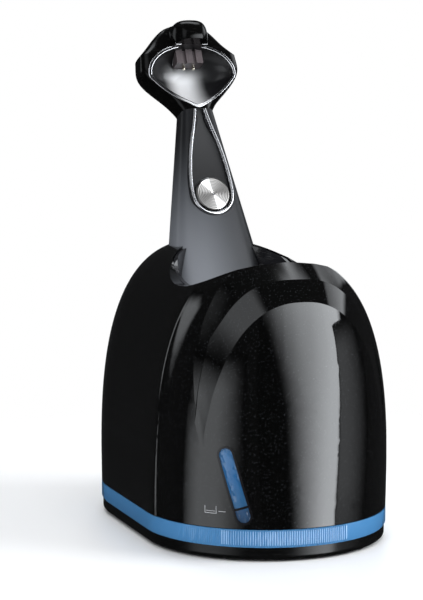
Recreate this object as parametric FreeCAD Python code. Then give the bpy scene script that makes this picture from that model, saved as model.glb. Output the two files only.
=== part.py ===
import FreeCAD, Part
import math
import os

# Shaver cleaning station. Millimetres, +Z up, front towards -Y.
# Origin: middle of the footprint, on the surface that the feet stand on.

Vec = FreeCAD.Vector
os.makedirs("parts", exist_ok=True)

# ---------------------------------------------------------------- footprint and foot
HALF_WIDTH = 52.0            # half of the footprint's width, and radius of its round ends
DEPTH = 160.0                # footprint, front to back
END_Y = DEPTH / 2 - HALF_WIDTH    # distance of each round end's centre from the origin
REAR_Y = DEPTH / 2
TOWER_Y = REAR_Y - 21.0      # where the tower's front meets the cradle's middle
HOLE_OVER = 1.0              # a cut runs past the face it opens by this
FOOT_LIFT = 0.8              # rubber feet stand proud of the tray by this
TRAY_TOP = 6.0               # top of the black foot, where the trim ring starts
TRAY_FLOOR = 4.4             # floor inside the tray
TRAY_EDGE = 1.8              # rounding under the foot
TRAY_INSET = 0.6             # the foot's side stands inside the ring's by this
RING_TOP = 13.3              # top of the trim ring
RING_WALL = 3.0
DOOR_HALF = HALF_WIDTH - 10.5# half width of the cartridge doorway at the rear
FOOT_PAD_R = 5.0
FOOT_PAD_THICK = 1.6
FOOT_PAD_REACH = HALF_WIDTH - 8.0# feet lie on this radius about each end's centre
FOOT_PAD_TURN = 35.0         # degrees off the middle line

# ---------------------------------------------------------------- housing envelope
SEAM_GAP = 0.3               # housing stands this far above the trim ring
HOUSING_Z = RING_TOP + SEAM_GAP
SPRING_Z = 15.0              # walls start to curve in above this height
TOP_Z = 120.3                # crest of the dome
CREST_Z = 119.5              # flat crest, hidden by the well and the tower
DOME_SHARES = (0.02, 0.15, 0.32, 0.47, 0.6, 0.71, 0.8, 0.872, 0.925, 0.965, 0.988, 1.0)
SIDE_POWER = 2.75            # roundness of the dome seen from the front
NOSE_POWER = 3.0             # roundness of the dome seen from the side
NOSE_ROOT = 5.0
PLAN_POWER = 2.0             # plan sections are round at the foot
PLAN_SQUARE = 0.4            # and a little squarer at the crest
WALL = 2.2                   # housing shell
SHELL_SPLIT_Y = TOWER_Y - 25.0# front and rear shell meet here

# arch band on the front: two flat strips between three arched lines; the first two lines are creases
# each line: half width, foot height, top height, roundness, depth under the dome at its top
INNER_ARCH = (HALF_WIDTH - 12.7, 39.2, 104.1, 2.35, 0.05)
OUTER_ARCH = (HALF_WIDTH - 10.7, 45.3, 113.4, 2.76, 1.25)
RIM_ARCH = (HALF_WIDTH - 8.5, 48.0, 119.0, 2.9, 0.5)
BAND_OVERRUN = 0.3           # share of a strip's width that its cutter runs past both lines
BAND_CUTTER = 9.0
BAND_STEPS = 24
BAND_END = 0.004             # the cutters stop this share of the arch short of its feet
LEG_LIFT = 0.4               # the second strip fades out of the dome towards the feet

# ---------------------------------------------------------------- well and basin
WELL_FRONT_Y = 25.4 - REAR_Y # front rim of the well
WELL_REAR_Y = TOWER_Y - 27.0 # rear end of its outline, behind the tower's root
WELL_HALF = HALF_WIDTH - 23.0
WELL_POWER = 2.5
SADDLE_Y = 10.0 - END_Y      # the side rims dip around here
SADDLE_R = 60.0
SADDLE_Z = 106.5
BASIN_WALL = 1.6
BASIN_FIT = 0.25             # basin to shell
BASIN_DROP = 0.8             # basin edge under the shell's rim
SHELF_Z = 98.0               # step behind the bowl, around the tower's root
BOWL_REAR_Y = TOWER_Y - 47.0
BOWL_FLOOR_Z = 66.0
BOWL_HALF = WELL_HALF - 9.0
BOWL_LENGTH = 42.0
BOWL_KNEE = 6.0              # bowl's wall turns up between these heights over its floor
BOWL_SHOULDER = 17.0
BOWL_FLARE = 4.0             # bowl gains this half width, and this half length, by its knee
BOWL_STRETCH = 5.0
BOWL_TAPER = 1.0
BOWL_POWER = 2.2
BOWL_TOP_POWER = 2.4
BOWL_OVER = 0.5
WELL_CUT = 30.0              # the well's cut reaches this far under the shelf
BOWL_INSET = 1.0             # the bowl's rim stands inside the well's wall by this
DRAIN_Y = 6.0 - END_Y
DRAIN_R = 5.0
DRAIN_WALL = 1.6
DRAIN_INTO_BOWL = 3.0        # drain spout's bore reaches this far into the bowl
BASIN_LEG_R = 3.0
BASIN_LEG_INTO_BOWL = 8.0    # legs run up to the bowl's curved wall
BASIN_LEG_X = 15.0

# ---------------------------------------------------------------- window
WINDOW_TURN = -33.7          # degrees about the front end's centre, towards the left
WINDOW_Z = 31.2
WINDOW_SLANT = 16.5
WINDOW_LENGTH = 33.0
WINDOW_WIDTH = 7.4
SLOT_REACH = 6.0             # half depth of the window's cutting forms
BEZEL_WIDTH = 0.9
BEZEL_PROUD = 0.35
LENS_SINK = 0.2
MARK_HEIGHT = 0.9
MARK_DROP = 9.6              # below the window's middle, along it
MARK_PROUD = 0.15

# ---------------------------------------------------------------- cartridge
CARTRIDGE_HALF = DOOR_HALF - 2.0
CARTRIDGE_Z = 6.6
CARTRIDGE_FRONT_R = HALF_WIDTH - 5.0
CARTRIDGE_REAR_R = HALF_WIDTH - 1.4
TUB_WALL = 1.8
TUB_TOP = 44.0
LID_TOP = TUB_TOP + 2.0
LID_SKIRT = 2.0
LID_FIT = 0.2
PORT_TOP = LID_TOP + 2.0
PORT_R = 8.0
PORT_HOLE_R = 5.0
VALVE_THICK = 1.2
SUCTION_TUBE_R = 3.6
SUCTION_TUBE_WALL = 1.0
SUCTION_TUBE_FOOT = 11.0
FILTER_R = 14.0
FILTER_FOOT = 16.0
GRIP_DEPTH = 2.6             # finger recess at the rear, near the top
GRIP_R = 14.0
GRIP_Z = 47.0
GRIP_TOP = 40.0
TUB_CORNER = 4.0
BACK_RIB_TOP = PORT_TOP + 1.6           # rib on the lid that fills the top of the doorway
BACK_RIB_THICK = 1.8
BACK_RIB_Y = REAR_Y - 18.0
RAIL_HALF = 1.5
RAIL_X = 30.0
RAIL_GAP = 0.1

# ---------------------------------------------------------------- chassis, posts, latch
CHASSIS_Z = PORT_TOP + 3.0
CHASSIS_THICK = 2.5
CHASSIS_TOP = CHASSIS_Z + CHASSIS_THICK
CHASSIS_FIT = 0.25
DOOR_TOP = CHASSIS_Z - 0.6
POST_X = HALF_WIDTH - 7.4
POST_Y = -8.0
POST_R = 1.8
POST_TOP = 66.0
SLEEVE_R = 3.3
SLEEVE_BOTTOM = 16.0
SLEEVE_TOP = 30.0
RUN_GAP = 0.3
SPRING_WIRE = 0.45
HOUSING_SPRING_TURNS = 7
SLEEVE_WEB = 3.0             # web between a sleeve and the wall
CLIP_X = HALF_WIDTH - 8.8
CLIP_WIDTH = 2.4
CLIP_THICK = 1.6
CLIP_Y = END_Y - 6.0
CLIP_NOSE = 2.0
CLIP_GAP = 0.1               # nose above the chassis, and strip inside its slot
CLIP_HEAD = 3.4              # the hook rises this far above the chassis
CLIP_FOOT = 3.0
CLIP_FOOT_THICK = 1.4
BAR_OUTER_R = HALF_WIDTH - 8.6
BAR_INNER_R = BAR_OUTER_R - 2.4
BAR_FRONT_Y = END_Y - 1.0
BAR_BOTTOM = CHASSIS_TOP + 0.3
BAR_TOP = BAR_BOTTOM + 3.2
LIFT_BUTTON_HALF = 17.0
LIFT_BUTTON_TOP = BAR_TOP + 14.0
LIFT_BUTTON_INNER_Y = REAR_Y - 12.5
LIFT_FLANGE = 1.8
LIFT_FLANGE_THICK = 1.6
STOP_WALL_Y = REAR_Y - 23.0
STOP_WALL_HALF = 6.0
STOP_WALL_THICK = 2.0
STOP_WALL_TOP = LIFT_BUTTON_TOP - 1.0
LIFT_SPRING_R = 2.6
LIFT_SPRING_Z = LIFT_BUTTON_TOP - 7.0
LIFT_SPRING_TURNS = 2.5
BOSS_R = 2.2
BOSS_REACH = HALF_WIDTH - 4.0
BOSS_TURN = 40.0
BOSS_TOP = CHASSIS_TOP + 8.5
SCREW_R = 1.0
SCREW_HEAD_R = 1.9
SCREW_HEAD = 1.1
SCREW_LENGTH = 8.0
SCREW_FIT = 0.05
SCREW_RECESS = 0.2           # the post screws' heads sit this far inside the foot
SCREW_TIP = 1.0              # room left past a screw's tip

BRACKET_HALF = 9.0           # bracket that carries the tower
BRACKET_WALL = 2.4
BRACKET_FRONT = TOWER_Y - 37.0
BRACKET_REAR = TOWER_Y - 13.0
BRACKET_FOOT = 3.0
BRACKET_SCREW_IN = 4.2       # front screw behind the bracket's face, rear screw behind its middle

# ---------------------------------------------------------------- pump
PUMP_X = 22.0
PUMP_Y = TOWER_Y - 23.0
PUMP_R = 12.0
PUMP_CHAMBER_R = 9.4
PUMP_FLOOR = 2.2
PUMP_RIM_Z = CHASSIS_TOP + 10.0
PUMP_COVER_TOP = PUMP_RIM_Z + 2.5
MOTOR_R = 9.0
MOTOR_EDGE = 1.5
MOTOR_BOSS_R = 2.6
MOTOR_BOSS = 1.2
MOTOR_TOP = PUMP_COVER_TOP + 24.0
SHAFT_R = 1.0
SHAFT_RUN = 0.05
SHAFT_TOP = MOTOR_TOP + 2.0
IMPELLER_R = 8.0
IMPELLER_Z = CHASSIS_TOP + PUMP_FLOOR + 1.0
IMPELLER_PLATE = 1.2
IMPELLER_HUB_R = 2.6
VANE_COUNT = 6
VANE_THICK = 0.9
VANE_HEIGHT = 3.2
VANE_ROOT = 1.5
VANE_TIP_GAP = 0.4
SEAL_R = 7.0
SEAL_HOLE_R = 3.4
SEAL_FOOT = PORT_TOP + RUN_GAP
HOSE_R = 2.4
HOSE_BORE = 1.6
HOSE_BEND = 1.6
HOSE_NOZZLE_BEND = 2.6
SPOUT_Z = CHASSIS_TOP + 6.3
PUMP_SPOUT = 2.0             # pump's spout stands out by this
PUMP_SPOUT_WALL = 1.2
HOSE_Y = PUMP_Y - 17.7
NOZZLE_X = 12.0
NOZZLE_Z = BOWL_FLOOR_Z + 18.0
NOZZLE_Y = BOWL_REAR_Y - 8.0 # nozzle's mouth, inside the bowl
NOZZLE_END_Y = NOZZLE_Y + 8.6
NOZZLE_FLANGE_R = 4.0
NOZZLE_FLANGE_THICK = 1.6

# ---------------------------------------------------------------- electrics
BOARD_Y = REAR_Y - 28.5
BOARD_THICK = 1.6
BOARD_HALF = 16.0
BOARD_TOP = 92.0
CHIP_X = -4.0
CHIP_Z = BOARD_TOP - 15.0
CHIP_HALF = 5.0
CHIP_THICK = 1.6
SOCKET_Z = LIFT_BUTTON_TOP + 10.5
SOCKET_HALF = 6.5
SOCKET_HEIGHT = 9.0
SOCKET_INNER_Y = REAR_Y - 21.0
SOCKET_RECESS_HALF = 4.6
SOCKET_RECESS_HEIGHT = 6.0
SOCKET_RECESS_DEPTH = 9.0
SOCKET_PIN_R = 0.8
SOCKET_PIN_ROOT = 0.5
SOCKET_PIN_PITCH = 4.4
SOCKET_PIN_LENGTH = 3.5
LEAD_R = 0.8
LEAD_PITCH = 6.0
LEAD_RISE = 2.5              # leads run this far above the inlet's middle

# ---------------------------------------------------------------- tower (its own frame: X across, Y into
# the tower, Z along its axis; the frame leans back about X)
LEAN = 25.45
TOWER_Z = 193.0
TOWER_FOOT_Z = 96.5
TOWER_NECK = -13.4           # top of the tower, under the head
TOWER_NECK_HALF = 7.2
TOWER_NECK_DEPTH = 14.0
TOWER_FLARE = 0.172          # half width gained per mm downwards
TOWER_DEEPEN = 0.21          # depth gained per mm downwards
TOWER_LENGTH = 112.0
TOWER_POWER = 3.4
TOWER_STEPS = 4
TOWER_WALL = 1.8
TOWER_FLOOR = 2.5
TOWER_ROOF = 1.5
TOWER_SPLIT = 7.0            # front and rear tower shell meet at this depth
TOWER_FIT = 0.25
BUTTON_H = -57.5             # start button, along the tower's axis
BUTTON_R = 7.8
BUTTON_TRAVEL = 1.2
BUTTON_GAP = 0.3
BUTTON_PROUD = 0.5
BUTTON_BACK = 2.4
BUTTON_WELL = 4.8            # floor of the pocket that the button sinks into
WELL_WALL = 1.4
TEAR_R = 10.6                # round end of the cradle insert's trim
TEAR_NECK_HALF = 3.2
TEAR_SHOULDER = 25.0         # the sides stay full for this length above the button
TEAR_ROUND = ((1, 0), (0.86, 0.62), (0.68, 1))     # shares of TEAR_R and of TEAR_SHOULDER
TEAR_THROAT = ((1.25, 1.45),)                      # shares of TEAR_NECK_HALF and of TEAR_SHOULDER
TEAR_STOP = 3.0
TEAR_LEAN = 0.12
TEAR_BACKING = 0.8
TEAR_REACH = 5
TRIM_WIDTH = 1.8
TRIM_PROUD = 0.4
INSERT_SINK = 1.5
INSERT_THICK = 1.2
INSERT_FIT = 0.1
STEM_R = 2.0
STEM_COLLAR = 0.7
STEM_COLLAR_THICK = 0.6
STEM_END = 7.2
SWITCH_HALF = 2.4
SWITCH_GAP = 0.1
SWITCH_DEPTH = 4.0
SWITCH_POST = 2.0
START_SPRING_R = 5.0
START_SPRING_WIRE = 0.25
START_SPRING_TURNS = 2

# ---------------------------------------------------------------- head
CUP_HALF = 20.0
CUP_RISE = 13.4              # rim above its widest line
CUP_FALL = 15.6              # and below it
CUP_H = 1.5                  # widest line of the cup
CUP_DEPTH = 11.0
CUP_REACH = 3.0
CUP_LIP = 0.4
CUP_LEVELS = ((0.35, 0.93), (0.65, 0.78), (0.88, 0.54))    # share of the depth, and of the mouth's size
CUP_END = 0.26
CUP_WALL = 1.2
CUP_TOP_POWER = 2.0
CUP_LOW_POWER = 1.25
HEAD_DEPTH = 17.5
HEAD_RIDGE = 12.0            # a crease runs round the hood at this height
# sections of the hood: height, half width, front, back as a share of the depth, roundness
HOOD_LOW = (
    (-9.0, 12.8, -0.1, 0.9, 3.6),
    (-1.5, 20.0, -0.2, 0.97, 4.2),
    (3.0, 22.8, -0.1, 1.0, 4.5),
    (8.0, 23.4, 0.0, 1.0, 4.5),
    (HEAD_RIDGE, 23.1, 0.0, 0.99, 4.2),
)
HOOD_HIGH = (
    (HEAD_RIDGE, 23.1, 0.0, 0.99, 4.2),
    (15.5, 19.9, 0.3, 0.93, 3.2),
    (19.2, 16.7, 0.6, 0.84, 2.6),
    (22.8, 13.4, 1.0, 0.72, 2.4),
    (25.2, 10.4, 1.7, 0.6, 2.3),
    (26.5, 6.4, 2.8, 0.46, 2.2),
)
VISOR_Z = 14.4
VISOR_ROOT = 1.5
VISOR_TAB = ((0.34, 0.97), (0.66, 0.82), (0.88, 0.52), (0.97, 0.18))    # shares of half and of front
VISOR_FLARE = ((1.09, 0), (1.3, 1.4), (1.25, 4.5), (0.7, 7.0))          # share of half, and depth
# sections of the beak: height, half width, reach
VISOR_LEVELS = (
    (VISOR_Z, 7.9, 9.6),
    (17.0, 8.4, 10.0),
    (20.4, 8.5, 9.5),
    (23.4, 7.9, 7.9),
    (25.3, 6.4, 5.4),
    (26.3, 4.0, 2.6),
)
BLOCK_HALF = 6.4
BLOCK_FRONT = 3.4
BLOCK_BACK = 9.0
BLOCK_FOOT = 7.6
BLOCK_TOP = 17.0
RIDGE_HALF = 1.55
RIDGE_PITCH = 4.7
RIDGE_DEPTH = 1.1
PIN_X = 2.35
PIN_Y = 5.8
PIN_R = 0.75
PIN_TIP_ROUND = PIN_R * 0.6
PIN_RUN = 0.05
PIN_HEAD_R = 1.25
PIN_HEAD_H = 9.2             # underside of the pin's head, along the tower's axis
PIN_HEAD_THICK = 0.8
PIN_TIP = 5.6
PIN_SEAT_H = 9.1
PIN_BORE_TOP = 14.5
CONTACT_SPRING_WIRE = 0.16
CONTACT_SPRING_TURNS = 6
WIRE_R = 0.9
WIRE_X = 3.9
WIRE_H = 12.5                # the harness leaves the contact block here
WIRE_BACK = 14.2
WIRE_NECK = 9.6
WIRE_NECK_H = -20.0
WIRE_LOW = 12.0
WIRE_LOW_H = -99.0
WIRE_END_Z = BOARD_TOP - 12.0
WIRE_FIT = 0.4
WIRE_BENDS = (2.3, 30.0, 8.0)
PLUG_HALF = 3.0
PLUG_DEPTH = 3.5

HEAD_FOOT = TOWER_NECK - 2.6

CIRCLE_POINTS = 32
LOFT_DEGREE = 3
EDGE_TOL = 0.05              # picks the edges that lie on a level
FAR = 400.0


# ================================================================ helpers
def save(name, *shapes):
    solids = []
    for shape in shapes:
        solids.extend(shape.Solids)
    whole = solids[0] if len(solids) == 1 else Part.makeCompound(solids)
    whole.exportStep("parts/" + name + ".step")


def box(x0, x1, y0, y1, z0, z1):
    return Part.makeBox(x1 - x0, y1 - y0, z1 - z0, Vec(x0, y0, z0))


def rod(radius, x, y, z0, z1):
    return Part.makeCylinder(radius, z1 - z0, Vec(x, y, z0), Vec(0, 0, 1))


def rod_y(radius, x, z, y0, y1):
    return Part.makeCylinder(radius, y1 - y0, Vec(x, y0, z), Vec(0, 1, 0))


def tube(outer, bore, x, y, z0, z1):
    return rod(outer, x, y, z0, z1).cut(rod(bore, x, y, z0, z1))


def signed_power(value, power):
    return math.copysign(abs(value) ** power, value)


def oval_wire(half_x, half_y, centre_y, z, power):
    """Closed superellipse in a level plane."""
    points = []
    for step in range(CIRCLE_POINTS):
        turn = 2 * math.pi * (step + 0.5) / CIRCLE_POINTS
        x = half_x * signed_power(math.cos(turn), 2 / power)
        y = centre_y + half_y * signed_power(math.sin(turn), 2 / power)
        points.append(Vec(x, y, z))
    curve = Part.BSplineCurve()
    curve.interpolate(Points=points, PeriodicFlag=True)
    return Part.Wire([curve.toShape()])


def loft(wires):
    return Part.makeLoft(wires, True, False, False, LOFT_DEGREE)


def coil(radius, wire, x, y, z0, z1, turns):
    """Coil spring between two levels, its ends inside them by the wire's radius."""
    pitch = (z1 - z0 - 2 * wire) / turns
    helix = Part.makeHelix(pitch, z1 - z0 - 2 * wire, radius)
    start = Part.Wire([Part.makeCircle(wire, Vec(radius, 0, 0), Vec(0, 1, 0))])
    spring = Part.Wire(helix.Edges).makePipeShell([start], True, True)
    spring.translate(Vec(x, y, z0 + wire))
    return spring


def to_tower(shape):
    """Takes a shape from the tower's frame to the station's."""
    placed = shape.copy()
    placed.rotate(Vec(0, 0, 0), Vec(1, 0, 0), -LEAN)
    placed.translate(Vec(0, TOWER_Y, TOWER_Z))
    return placed


# ================================================================ housing envelope
def dome_share(z, power, root):
    rise = max(0.0, (z - SPRING_Z) / (TOP_Z - SPRING_Z))
    return (1 - rise ** power) ** (1 / root)


def half_width_at(z):
    return HALF_WIDTH * dome_share(z, SIDE_POWER, SIDE_POWER)


def end_reach_at(z):
    return HALF_WIDTH * dome_share(z, NOSE_POWER, NOSE_ROOT)


def plan_power_at(z):
    return PLAN_POWER + PLAN_SQUARE * max(0.0, (z - SPRING_Z) / (TOP_Z - SPRING_Z))


def end_curve(half, reach, z, power, side):
    """Half superellipse around the front (side -1) or rear (side 1) end."""
    points = []
    count = CIRCLE_POINTS // 2
    for step in range(count + 1):
        turn = math.pi * step / count
        x = -side * half * signed_power(math.cos(turn), 2 / power)
        y = side * (END_Y + reach * signed_power(math.sin(turn), 2 / power))
        points.append(Vec(x, y, z))
    curve = Part.BSplineCurve()
    along = Vec(0, side, 0)
    curve.interpolate(Points=points, InitialTangent=along, FinalTangent=along * -1)
    return curve.toShape()


def plan_wire(z, inset, at):
    """Housing outline at height z, drawn at height at, moved in by inset."""
    half = half_width_at(z) - inset
    reach = end_reach_at(z) - inset
    power = plan_power_at(z)
    front = end_curve(half, reach, at, power, -1)
    rear = end_curve(half, reach, at, power, 1)
    right = Part.LineSegment(Vec(half, -END_Y, at), Vec(half, END_Y, at)).toShape()
    left = Part.LineSegment(Vec(-half, END_Y, at), Vec(-half, -END_Y, at)).toShape()
    return Part.Wire([front, right, rear, left])


def dome_levels(bottom):
    span = CREST_Z - SPRING_Z
    return [bottom] + [SPRING_Z + span * share for share in DOME_SHARES]


def envelope(inset, bottom=HOUSING_Z):
    """The housing's outer form, or a form that lies inside it by inset."""
    wires = []
    levels = dome_levels(bottom)
    for z in levels:
        drop = inset * max(0.0, (z - SPRING_Z) / (CREST_Z - SPRING_Z)) ** 2
        wires.append(plan_wire(z, inset, z - drop))
    return loft(wires)


def capsule(radius, z0, z1, inset=0.0):
    """Footprint outline between two levels, square-cut."""
    end = radius - inset
    middle = box(-end, end, -END_Y, END_Y, z0, z1)
    return middle.fuse([rod(end, 0, -END_Y, z0, z1), rod(end, 0, END_Y, z0, z1)]).removeSplitter()


def front_y_at(x, z):
    """Y of the dome's front at a place seen from the front."""
    power = plan_power_at(z)
    share = min(1.0, abs(x) / half_width_at(z))
    return -END_Y - end_reach_at(z) * (1 - share ** power) ** (1 / power)


def arch_point(share, arch):
    """Point of an arched line on the dome; share runs 0 to 1 from left leg to right leg."""
    half, foot, top, power, _ = arch
    turn = math.pi * share
    x = -half * signed_power(math.cos(turn), 2 / power)
    z = foot + (top - foot) * math.sin(turn)
    return Vec(x, front_y_at(x, z), z)


def strip_section(share, inner, outer, lift):
    """Section of the cutter that planes the strip between two arched lines."""
    low = arch_point(share, inner)
    high = arch_point(share, outer)
    ahead = arch_point(share + BAND_END / 2, inner)
    out = (ahead - low).cross(high - low)
    out.normalize()
    if out.y > 0:
        out = out * -1
    rise = math.sin(math.pi * share)
    low = low + out * (lift * (1 - rise) - inner[-1] * rise)
    high = high + out * (lift * (1 - rise) - outer[-1] * rise)
    past = (high - low) * BAND_OVERRUN
    start = low - past
    end = high + past
    return Part.makePolygon([start, end, end + out * BAND_CUTTER, start + out * BAND_CUTTER, start])


def strip_cutter(inner, outer, lift):
    wires = []
    for step in range(BAND_STEPS + 1):
        share = BAND_END + (1 - 2 * BAND_END) * step / BAND_STEPS
        wires.append(strip_section(share, inner, outer, lift))
    return loft(wires)


def saddle_cutter():
    """Scoops the side rims of the well between its front rim and the tower."""
    return Part.makeCylinder(SADDLE_R, FAR, Vec(-FAR / 2, SADDLE_Y, SADDLE_Z + SADDLE_R), Vec(1, 0, 0))


def well_wire(inset, z):
    middle = (WELL_FRONT_Y + WELL_REAR_Y) / 2
    half_y = (WELL_REAR_Y - WELL_FRONT_Y) / 2
    return oval_wire(WELL_HALF - inset, half_y - inset, middle, z, WELL_POWER)


def well_prism(inset, z0, z1):
    face = Part.Face(well_wire(inset, z0))
    return face.extrude(Vec(0, 0, z1 - z0))


# ================================================================ tower forms
def tower_wire(h, inset):
    down = TOWER_NECK - h
    half = TOWER_NECK_HALF + TOWER_FLARE * down - inset
    depth = TOWER_NECK_DEPTH + TOWER_DEEPEN * down
    return oval_wire(half, depth / 2 - inset, depth / 2, h, TOWER_POWER)


def tower_form(inset, top=TOWER_NECK):
    span = TOWER_LENGTH + top
    levels = [top - span * step / TOWER_STEPS for step in range(TOWER_STEPS + 1)]
    return to_tower(loft([tower_wire(h, inset) for h in levels]))


def tear_wire(inset, y):
    """Outline of the cradle insert: round at the button, narrow under the cup."""
    radius = TEAR_R - inset
    neck = TEAR_NECK_HALF - inset
    side = [Vec(radius * wide, y, BUTTON_H + TEAR_SHOULDER * high) for wide, high in TEAR_ROUND]
    side += [Vec(neck * wide, y, BUTTON_H + TEAR_SHOULDER * high) for wide, high in TEAR_THROAT]
    side.append(Vec(neck, y, TOWER_NECK - TEAR_STOP))
    right = Part.BSplineCurve()
    right.interpolate(Points=side, InitialTangent=Vec(0, 0, 1), FinalTangent=Vec(-TEAR_LEAN, 0, 1))
    mirrored = [Vec(-point.x, point.y, point.z) for point in reversed(side)]
    left = Part.BSplineCurve()
    left.interpolate(Points=mirrored, InitialTangent=Vec(-TEAR_LEAN, 0, -1), FinalTangent=Vec(0, 0, -1))
    bridge = Part.LineSegment(side[-1], mirrored[0]).toShape()
    foot = Vec(0, y, BUTTON_H - radius)
    bow = Part.Arc(mirrored[-1], foot, side[0]).toShape()
    return Part.Wire([right.toShape(), bridge, left.toShape(), bow])


def tear_prism(inset, y0, y1):
    return Part.Face(tear_wire(inset, y0)).extrude(Vec(0, y1 - y0, 0))


def disc(radius, x, h, y0, y1):
    return Part.makeCylinder(radius, y1 - y0, Vec(x, y0, h), Vec(0, 1, 0))


# ================================================================ head forms
def head_wire(h, half, front, back_share, power):
    back = HEAD_DEPTH * back_share
    return oval_wire(half, (back - front) / 2, (back + front) / 2, h, power)


def head_form():
    """Outer form of the head: it widens from the tower to a ridge, and closes in above it."""
    low = loft([tower_wire(HEAD_FOOT, 0)] + [head_wire(*level) for level in HOOD_LOW])
    high = loft([head_wire(*level) for level in HOOD_HIGH])
    return low.fuse(high)


def visor_wire(h, half, front):
    """Level section of the beak: a round tab that flares into the head at both sides."""
    side = [Vec(half * wide, -front * out, h) for wide, out in VISOR_TAB]
    side += [Vec(half * wide, VISOR_ROOT + back, h) for wide, back in VISOR_FLARE]
    mirrored = [Vec(-point.x, point.y, point.z) for point in reversed(side)]
    curve = Part.BSplineCurve()
    curve.interpolate(Points=side + mirrored, PeriodicFlag=True)
    return Part.Wire([curve.toShape()])


def visor_form():
    """Beak of the hood over the cup."""
    return loft([visor_wire(*level) for level in VISOR_LEVELS])


def cup_wire(y, grow, share):
    """Cup section at one depth; share scales it down towards the bottom."""
    points = []
    half = CUP_HALF * share + grow
    for step in range(CIRCLE_POINTS):
        turn = 2 * math.pi * (step + 0.5) / CIRCLE_POINTS
        upper = math.sin(turn) > 0
        power = CUP_TOP_POWER if upper else CUP_LOW_POWER
        reach = (CUP_RISE if upper else CUP_FALL) * share + grow
        x = half * signed_power(math.cos(turn), 2 / power)
        h = CUP_H + reach * signed_power(math.sin(turn), 2 / power)
        points.append(Vec(x, y, h))
    curve = Part.BSplineCurve()
    curve.interpolate(Points=points, PeriodicFlag=True)
    return Part.Wire([curve.toShape()])


def cup_form(grow):
    """Cup's inside, or with a wall's growth its outside; it opens towards -Y."""
    mouth = [cup_wire(-CUP_REACH, grow, 1), cup_wire(CUP_LIP, grow, 1)]
    walls = [cup_wire(CUP_DEPTH * deep, grow, share) for deep, share in CUP_LEVELS]
    return loft(mouth + walls + [cup_wire(CUP_DEPTH + grow, grow, CUP_END)])


# ================================================================ base
def make_base_tray():
    low = capsule(HALF_WIDTH, FOOT_LIFT, TRAY_TOP, TRAY_INSET)
    bottom_edges = [edge for edge in low.Edges if edge.BoundBox.ZMax < FOOT_LIFT + EDGE_TOL]
    tray = low.makeFillet(TRAY_EDGE, bottom_edges)
    hollow = capsule(HALF_WIDTH, TRAY_FLOOR, TRAY_TOP + HOLE_OVER, RING_WALL + TRAY_INSET)
    doorway = box(-DOOR_HALF, DOOR_HALF, END_Y, DEPTH, TRAY_FLOOR, TRAY_TOP + HOLE_OVER)
    tray = tray.cut(hollow).cut(doorway)
    rails = []
    for side in (-1, 1):
        x = side * RAIL_X
        rail_top = CARTRIDGE_Z - RAIL_GAP
        rails.append(box(x - RAIL_HALF, x + RAIL_HALF, -END_Y * 2, END_Y * 2, TRAY_FLOOR, rail_top))
    tray = tray.fuse(rails)
    for x, y in foot_places():
        tray = tray.cut(rod(FOOT_PAD_R + SCREW_FIT, x, y, 0, FOOT_PAD_THICK))
    for x in (-POST_X, POST_X):
        tray = tray.cut(rod(SCREW_R + SCREW_FIT, x, POST_Y, 0, TRAY_TOP))
        tray = tray.cut(rod(SCREW_HEAD_R + SCREW_FIT, x, POST_Y, 0, FOOT_LIFT + SCREW_HEAD + SCREW_RECESS))
    return tray


def foot_places():
    """Centres of the four rubber feet."""
    turn = math.radians(FOOT_PAD_TURN)
    x = FOOT_PAD_REACH * math.sin(turn)
    y = END_Y + FOOT_PAD_REACH * math.cos(turn)
    return [(-x, -y), (x, -y), (-x, y), (x, y)]


def make_feet():
    return [rod(FOOT_PAD_R, x, y, 0, FOOT_PAD_THICK) for x, y in foot_places()]


def make_trim_ring():
    ring = capsule(HALF_WIDTH, TRAY_TOP, RING_TOP)
    ring = ring.cut(capsule(HALF_WIDTH, TRAY_TOP, RING_TOP, RING_WALL))
    return ring.cut(box(-DOOR_HALF, DOOR_HALF, END_Y, DEPTH, TRAY_TOP, RING_TOP))


def make_posts():
    posts = []
    for x in (-POST_X, POST_X):
        post = rod(POST_R, x, POST_Y, TRAY_FLOOR, POST_TOP)
        bore = rod(SCREW_R + SCREW_FIT, x, POST_Y, TRAY_FLOOR, TRAY_FLOOR + SCREW_LENGTH)
        posts.append(post.cut(bore))
    return posts


def make_lift_springs():
    radius = POST_R + 2 * SPRING_WIRE + RUN_GAP
    springs = []
    for x in (-POST_X, POST_X):
        springs.append(coil(radius, SPRING_WIRE, x, POST_Y, TRAY_FLOOR, SLEEVE_BOTTOM, HOUSING_SPRING_TURNS))
    return springs


def screw_up(x, y, z, length=SCREW_LENGTH):
    """Screw driven upwards, its head under level z."""
    head = rod(SCREW_HEAD_R, x, y, z - SCREW_HEAD, z)
    return head.fuse(rod(SCREW_R, x, y, z, z + length))


def make_post_screws():
    seat = FOOT_LIFT + SCREW_HEAD + SCREW_RECESS
    reach = TRAY_FLOOR + SCREW_LENGTH - SCREW_TIP - seat
    return [screw_up(x, POST_Y, seat, reach) for x in (-POST_X, POST_X)]


def make_latch_clips():
    """Springy hooks that rise from the tray and hold the chassis down."""
    clips = []
    for side in (-1, 1):
        x0 = side * CLIP_X - CLIP_WIDTH / 2
        x1 = x0 + CLIP_WIDTH
        strip = box(x0, x1, CLIP_Y, CLIP_Y + CLIP_THICK, TRAY_FLOOR, CHASSIS_TOP + CLIP_HEAD)
        nose_y = CLIP_Y + CLIP_THICK + CLIP_NOSE
        nose = box(x0, x1, CLIP_Y, nose_y, CHASSIS_TOP + CLIP_GAP, CHASSIS_TOP + CLIP_HEAD)
        foot_y = CLIP_Y + CLIP_THICK + CLIP_FOOT
        foot = box(x0, x1, CLIP_Y - CLIP_FOOT, foot_y, TRAY_FLOOR, TRAY_FLOOR + CLIP_FOOT_THICK)
        clips.append(strip.fuse([nose, foot]).removeSplitter())
    return clips


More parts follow.
